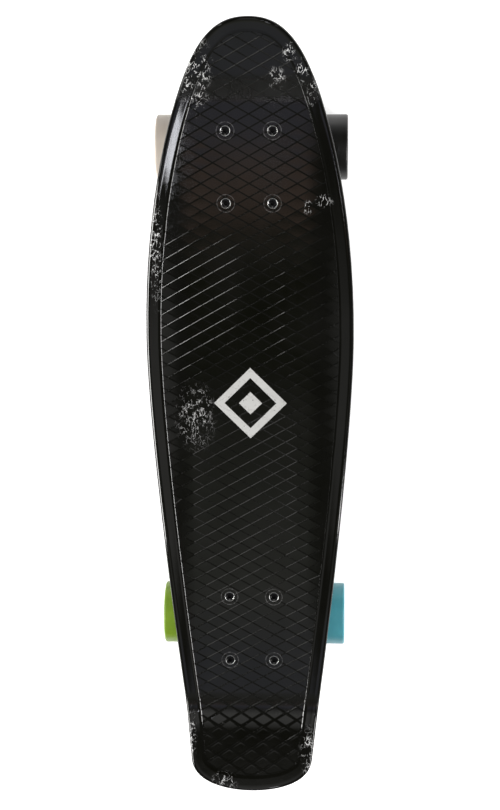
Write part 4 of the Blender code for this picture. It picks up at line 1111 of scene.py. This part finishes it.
def makeWheels():
    t, p, w = truckSize, truckPoints(), wheelSize
    wheel, bearing, core = makeWheelBlank(), makeBearingBlank(), makeCoreBlank()
    nut = lockNut("axleNut", w["nutFlats"], t["axle"] + t["gap"], w["nutHeight"], w["nutHex"])
    bearingX = w["spacer"] / 2 + w["bearingWidth"] / 2
    for end, matrix in truckEnds.items():
        for side, sign in (("left", -1), ("right", 1)):
            name, truck = f"{end}_{side}", end + "_truck"
            turns = name + "_wheel"
            middle = matrix @ p["axle"]
            middle.x = sign * wheelX
            at = Matrix.Translation(middle)
            install(wheel, at, turns, turns, wheelLooks[name]["slot"])
            for which, direction in (("inner", -sign), ("outer", sign)):
                install(bearing, at @ Matrix.Translation((direction * bearingX, 0, 0)), turns,
                        f"{name}_{which}_bearing", "bearing_steel")
            install(core, at, truck, name + "_bearing_core", "zinc_steel")
            nutAt = at @ Matrix.Translation((sign * (coreHalf + t["gap"]), 0, 0))
            install(nut, nutAt @ Matrix.Rotation(sign * math.pi / 2, 4, "Y"), truck, name + "_axle_nut",
                    "zinc_steel")
    remove(wheel, bearing, core, nut)
    print("wheels done")


floorLook = {"size": 40, "z": -0.0004, "colour": (0.80, 0.80, 0.80), "shade": (0.78, 0.78, 0.78),
             "speck": 6.0, "roughness": 0.9, "glow": (0.60, 0.92), "glowFrom": (0.9, 4.0)}


def makeFloor():
    look = floorLook
    clearSelection()
    bpy.ops.mesh.primitive_plane_add(size=look["size"], location=(0, 0, look["z"]))
    floor = bpy.context.object
    floor.name = "studioFloor"
    mat, tree, shader = newMaterial("paleFloor")
    point = objectPoint(tree)
    mottle = ramp(tree, noise(tree, point, look["speck"], 4.0), 0.3, 0.7)
    path = addNode(tree, "ShaderNodeLightPath").outputs
    seen = greatest(tree, [path[ray] for ray in ("Is Camera Ray", "Is Glossy Ray", "Is Transmission Ray")])
    glow = ramp(tree, lengthOf(tree, point), *look["glowFrom"], *look["glow"])
    setInputs(tree, shader, Base_Color=blendColour(tree, mottle, look["colour"], look["shade"]),
              Roughness=look["roughness"], Emission_Color=(1, 1, 1),
              Emission_Strength=times(tree, seen, glow))
    floor.data.materials.append(mat)


ceiling = {
    "low": (0.5, 0.5, 0.5), "highFrom": (0.34, 0.46), "centreX": -0.045, "wide": (0.055, 0.10),
    "aside": (0.055, 0.055, 0.05),
    "dim": (0.06, 0.06, 0.06), "dimFrom": (-0.80, -0.60),   # low down behind the tail
    # the colour straight above, by how far the direction leans towards the nose
    "stops": [(-0.45, (0.30, 0.31, 0.35)), (-0.392, (0.38, 0.395, 0.46)), (-0.375, (0.39, 0.40, 0.41)),
              (-0.355, (0.39, 0.40, 0.37)), (-0.32, (0.26, 0.27, 0.24)),
              (-0.27, (0.18, 0.185, 0.16)), (-0.22, (0.04, 0.045, 0.025)), (-0.183, (0.03, 0.035, 0.015)),
              (-0.172, (0.13, 0.13, 0.11)), (-0.158, (0.08, 0.08, 0.06)), (-0.142, (0.60, 0.415, 0.335)),
              (-0.117, (0.60, 0.43, 0.36)), (-0.112, (0.39, 0.39, 0.48)), (-0.06, (0.36, 0.37, 0.47)),
              (0.00, (0.20, 0.19, 0.20)), (0.06, (0.50, 0.50, 0.50)), (0.14, (0.75, 0.75, 0.73)),
              (0.34, (0.66, 0.66, 0.65)), (0.42, (0.42, 0.42, 0.41)), (0.456, (0.24, 0.24, 0.23)),
              (0.466, (0.09, 0.09, 0.08)), (0.477, (0.03, 0.03, 0.02))],
    "bands": [(0.125, 0.045, 0.45), (-0.245, 0.05, 0.36)],   # middle, half width and level
    "bandsFrom": (-0.26, -0.10),
}


def makeWorld():
    c = ceiling
    world = bpy.data.worlds.new("studio")
    bpy.context.scene.world = world
    world.use_nodes = True
    tree = world.node_tree
    direction = addNode(tree, "ShaderNodeTexCoord").outputs["Generated"]
    axes = addNode(tree, "ShaderNodeSeparateXYZ", Vector=direction).outputs
    lean = addNode(tree, "ShaderNodeMapRange", Value=axes["Y"], From_Min=-0.5, From_Max=0.5)
    stops = addNode(tree, "ShaderNodeValToRGB", Fac=lean.outputs["Result"])
    elements = stops.color_ramp.elements
    for element, (at, colour) in zip(elements, (c["stops"][0], c["stops"][-1])):
        element.position = at + 0.5
        element.color = (*colour, 1)
    for at, colour in c["stops"][1:-1]:
        elements.new(at + 0.5).color = (*colour, 1)
    aside = ramp(tree, awayFrom(tree, axes["X"], c["centreX"]), *c["wide"])
    colour = blendColour(tree, aside, stops.outputs["Color"], c["aside"])
    for middle, half, level in c["bands"]:
        share = ramp(tree, axes["Y"], *c["bandsFrom"], 1.0, 0.0)
        share = times(tree, softBand(tree, axes["X"], middle, half), share)
        colour = blendColour(tree, share, colour, (level, level, level * 0.97))
    low = blendColour(tree, ramp(tree, axes["Y"], *c["dimFrom"]), c["dim"], c["low"])
    colour = blendColour(tree, ramp(tree, axes["Z"], *c["highFrom"]), low, colour)
    path = addNode(tree, "ShaderNodeLightPath").outputs
    seen = greatest(tree, [path["Is Camera Ray"], path["Is Transmission Ray"]])
    colour = blendColour(tree, seen, colour, (1.0, 1.0, 1.0))
    setInputs(tree, tree.nodes["Background"], Color=colour, Strength=1.0)


warmWhite, paleWhite, windowWhite = (1.0, 0.99, 0.97), (1.0, 0.99, 0.98), (0.93, 0.94, 1.0)
# place, aim, size, power and colour. The first four are seen in the tread walls only: the left ones face
# straight down, so that the lines fade to the right. The smooth border mirrors the last one at the nose.
lampSetup = {
    "leftSoftbox": ((-2.06, 1.83, 2.9), (-2.06, 1.76, 0), (0.27, 0.95), 2.3, warmWhite),
    "leftSpot": ((-0.282, 0.406, 0.4), (-0.282, 0.396, 0), (0.040, 0.122), 0.15, warmWhite),
    "edgeSpot": ((-1.815, 2.77, 2.9), (-1.815, 2.70, 0), (0.53, 0.5), 9.5, warmWhite),
    "rightSpot": ((1.74, 2.05, 2.9), (1.74, 1.98, 0), (0.14, 0.5), 0.3, paleWhite),
    "rightSoftbox": ((1.45, -0.25, 1.08), (0, 0, 0.1), (1.2, 0.42), 28.0, paleWhite),
    "leftFill": ((-1.45, -0.25, 1.08), (0, 0, 0.1), (1.2, 0.42), 38.0, warmWhite),
    "windowStrip": ((0.141, -0.0735, 3.0), (-0.091, 0.227, 0.1), (0.074, 0.205), 0.80, windowWhite),
}
cameraSetup = {"place": (0.07656, 0.4175, 1.6468), "lens": 78.64, "tilt": 14.705, "yaw": 2.750,
               "roll": -0.344, "sees": (0.05, 50)}


def makeLamps():
    for name, (spot, aim, size, power, colour) in lampSetup.items():
        clearSelection()
        bpy.ops.object.light_add(type="AREA", location=spot)
        lamp = bpy.context.object
        lamp.name = name
        lamp.visible_camera = False
        lamp.data.shape = "RECTANGLE"
        lamp.data.size, lamp.data.size_y = size
        lamp.data.energy, lamp.data.color = power, colour
        lamp.rotation_mode = "QUATERNION"
        lamp.rotation_quaternion = (Vector(aim) - Vector(spot)).to_track_quat("-Z", "Y")


def makeCamera():
    c = cameraSetup
    tilt = Matrix.Rotation(math.radians(-c["tilt"]), 3, "X")
    right, up, ahead = (tilt @ Vector(axis) for axis in ((1, 0, 0), (0, 1, 0), (0, 0, -1)))
    yaw = Matrix.Rotation(math.radians(c["yaw"]), 3, up)
    right, ahead = yaw @ right, yaw @ ahead
    roll = Matrix.Rotation(math.radians(c["roll"]), 3, ahead)
    right, up = roll @ right, roll @ up
    data = bpy.data.cameras.new("viewCamera")
    data.lens = c["lens"]
    data.clip_start, data.clip_end = c["sees"]
    camera = bpy.data.objects.new("viewCamera", data)
    bpy.context.scene.collection.objects.link(camera)
    turn = Matrix((right, up, -ahead)).transposed().to_4x4()
    camera.matrix_world = Matrix.Translation(c["place"]) @ turn
    bpy.context.scene.camera = camera


makeDeck()
makeMountingHardware()
makeTrucks()
makeWheels()
makeFloor()
makeWorld()
makeLamps()
makeCamera()
bpy.context.scene.view_settings.view_transform = "Standard"
clearSelection()

print("stage ready")
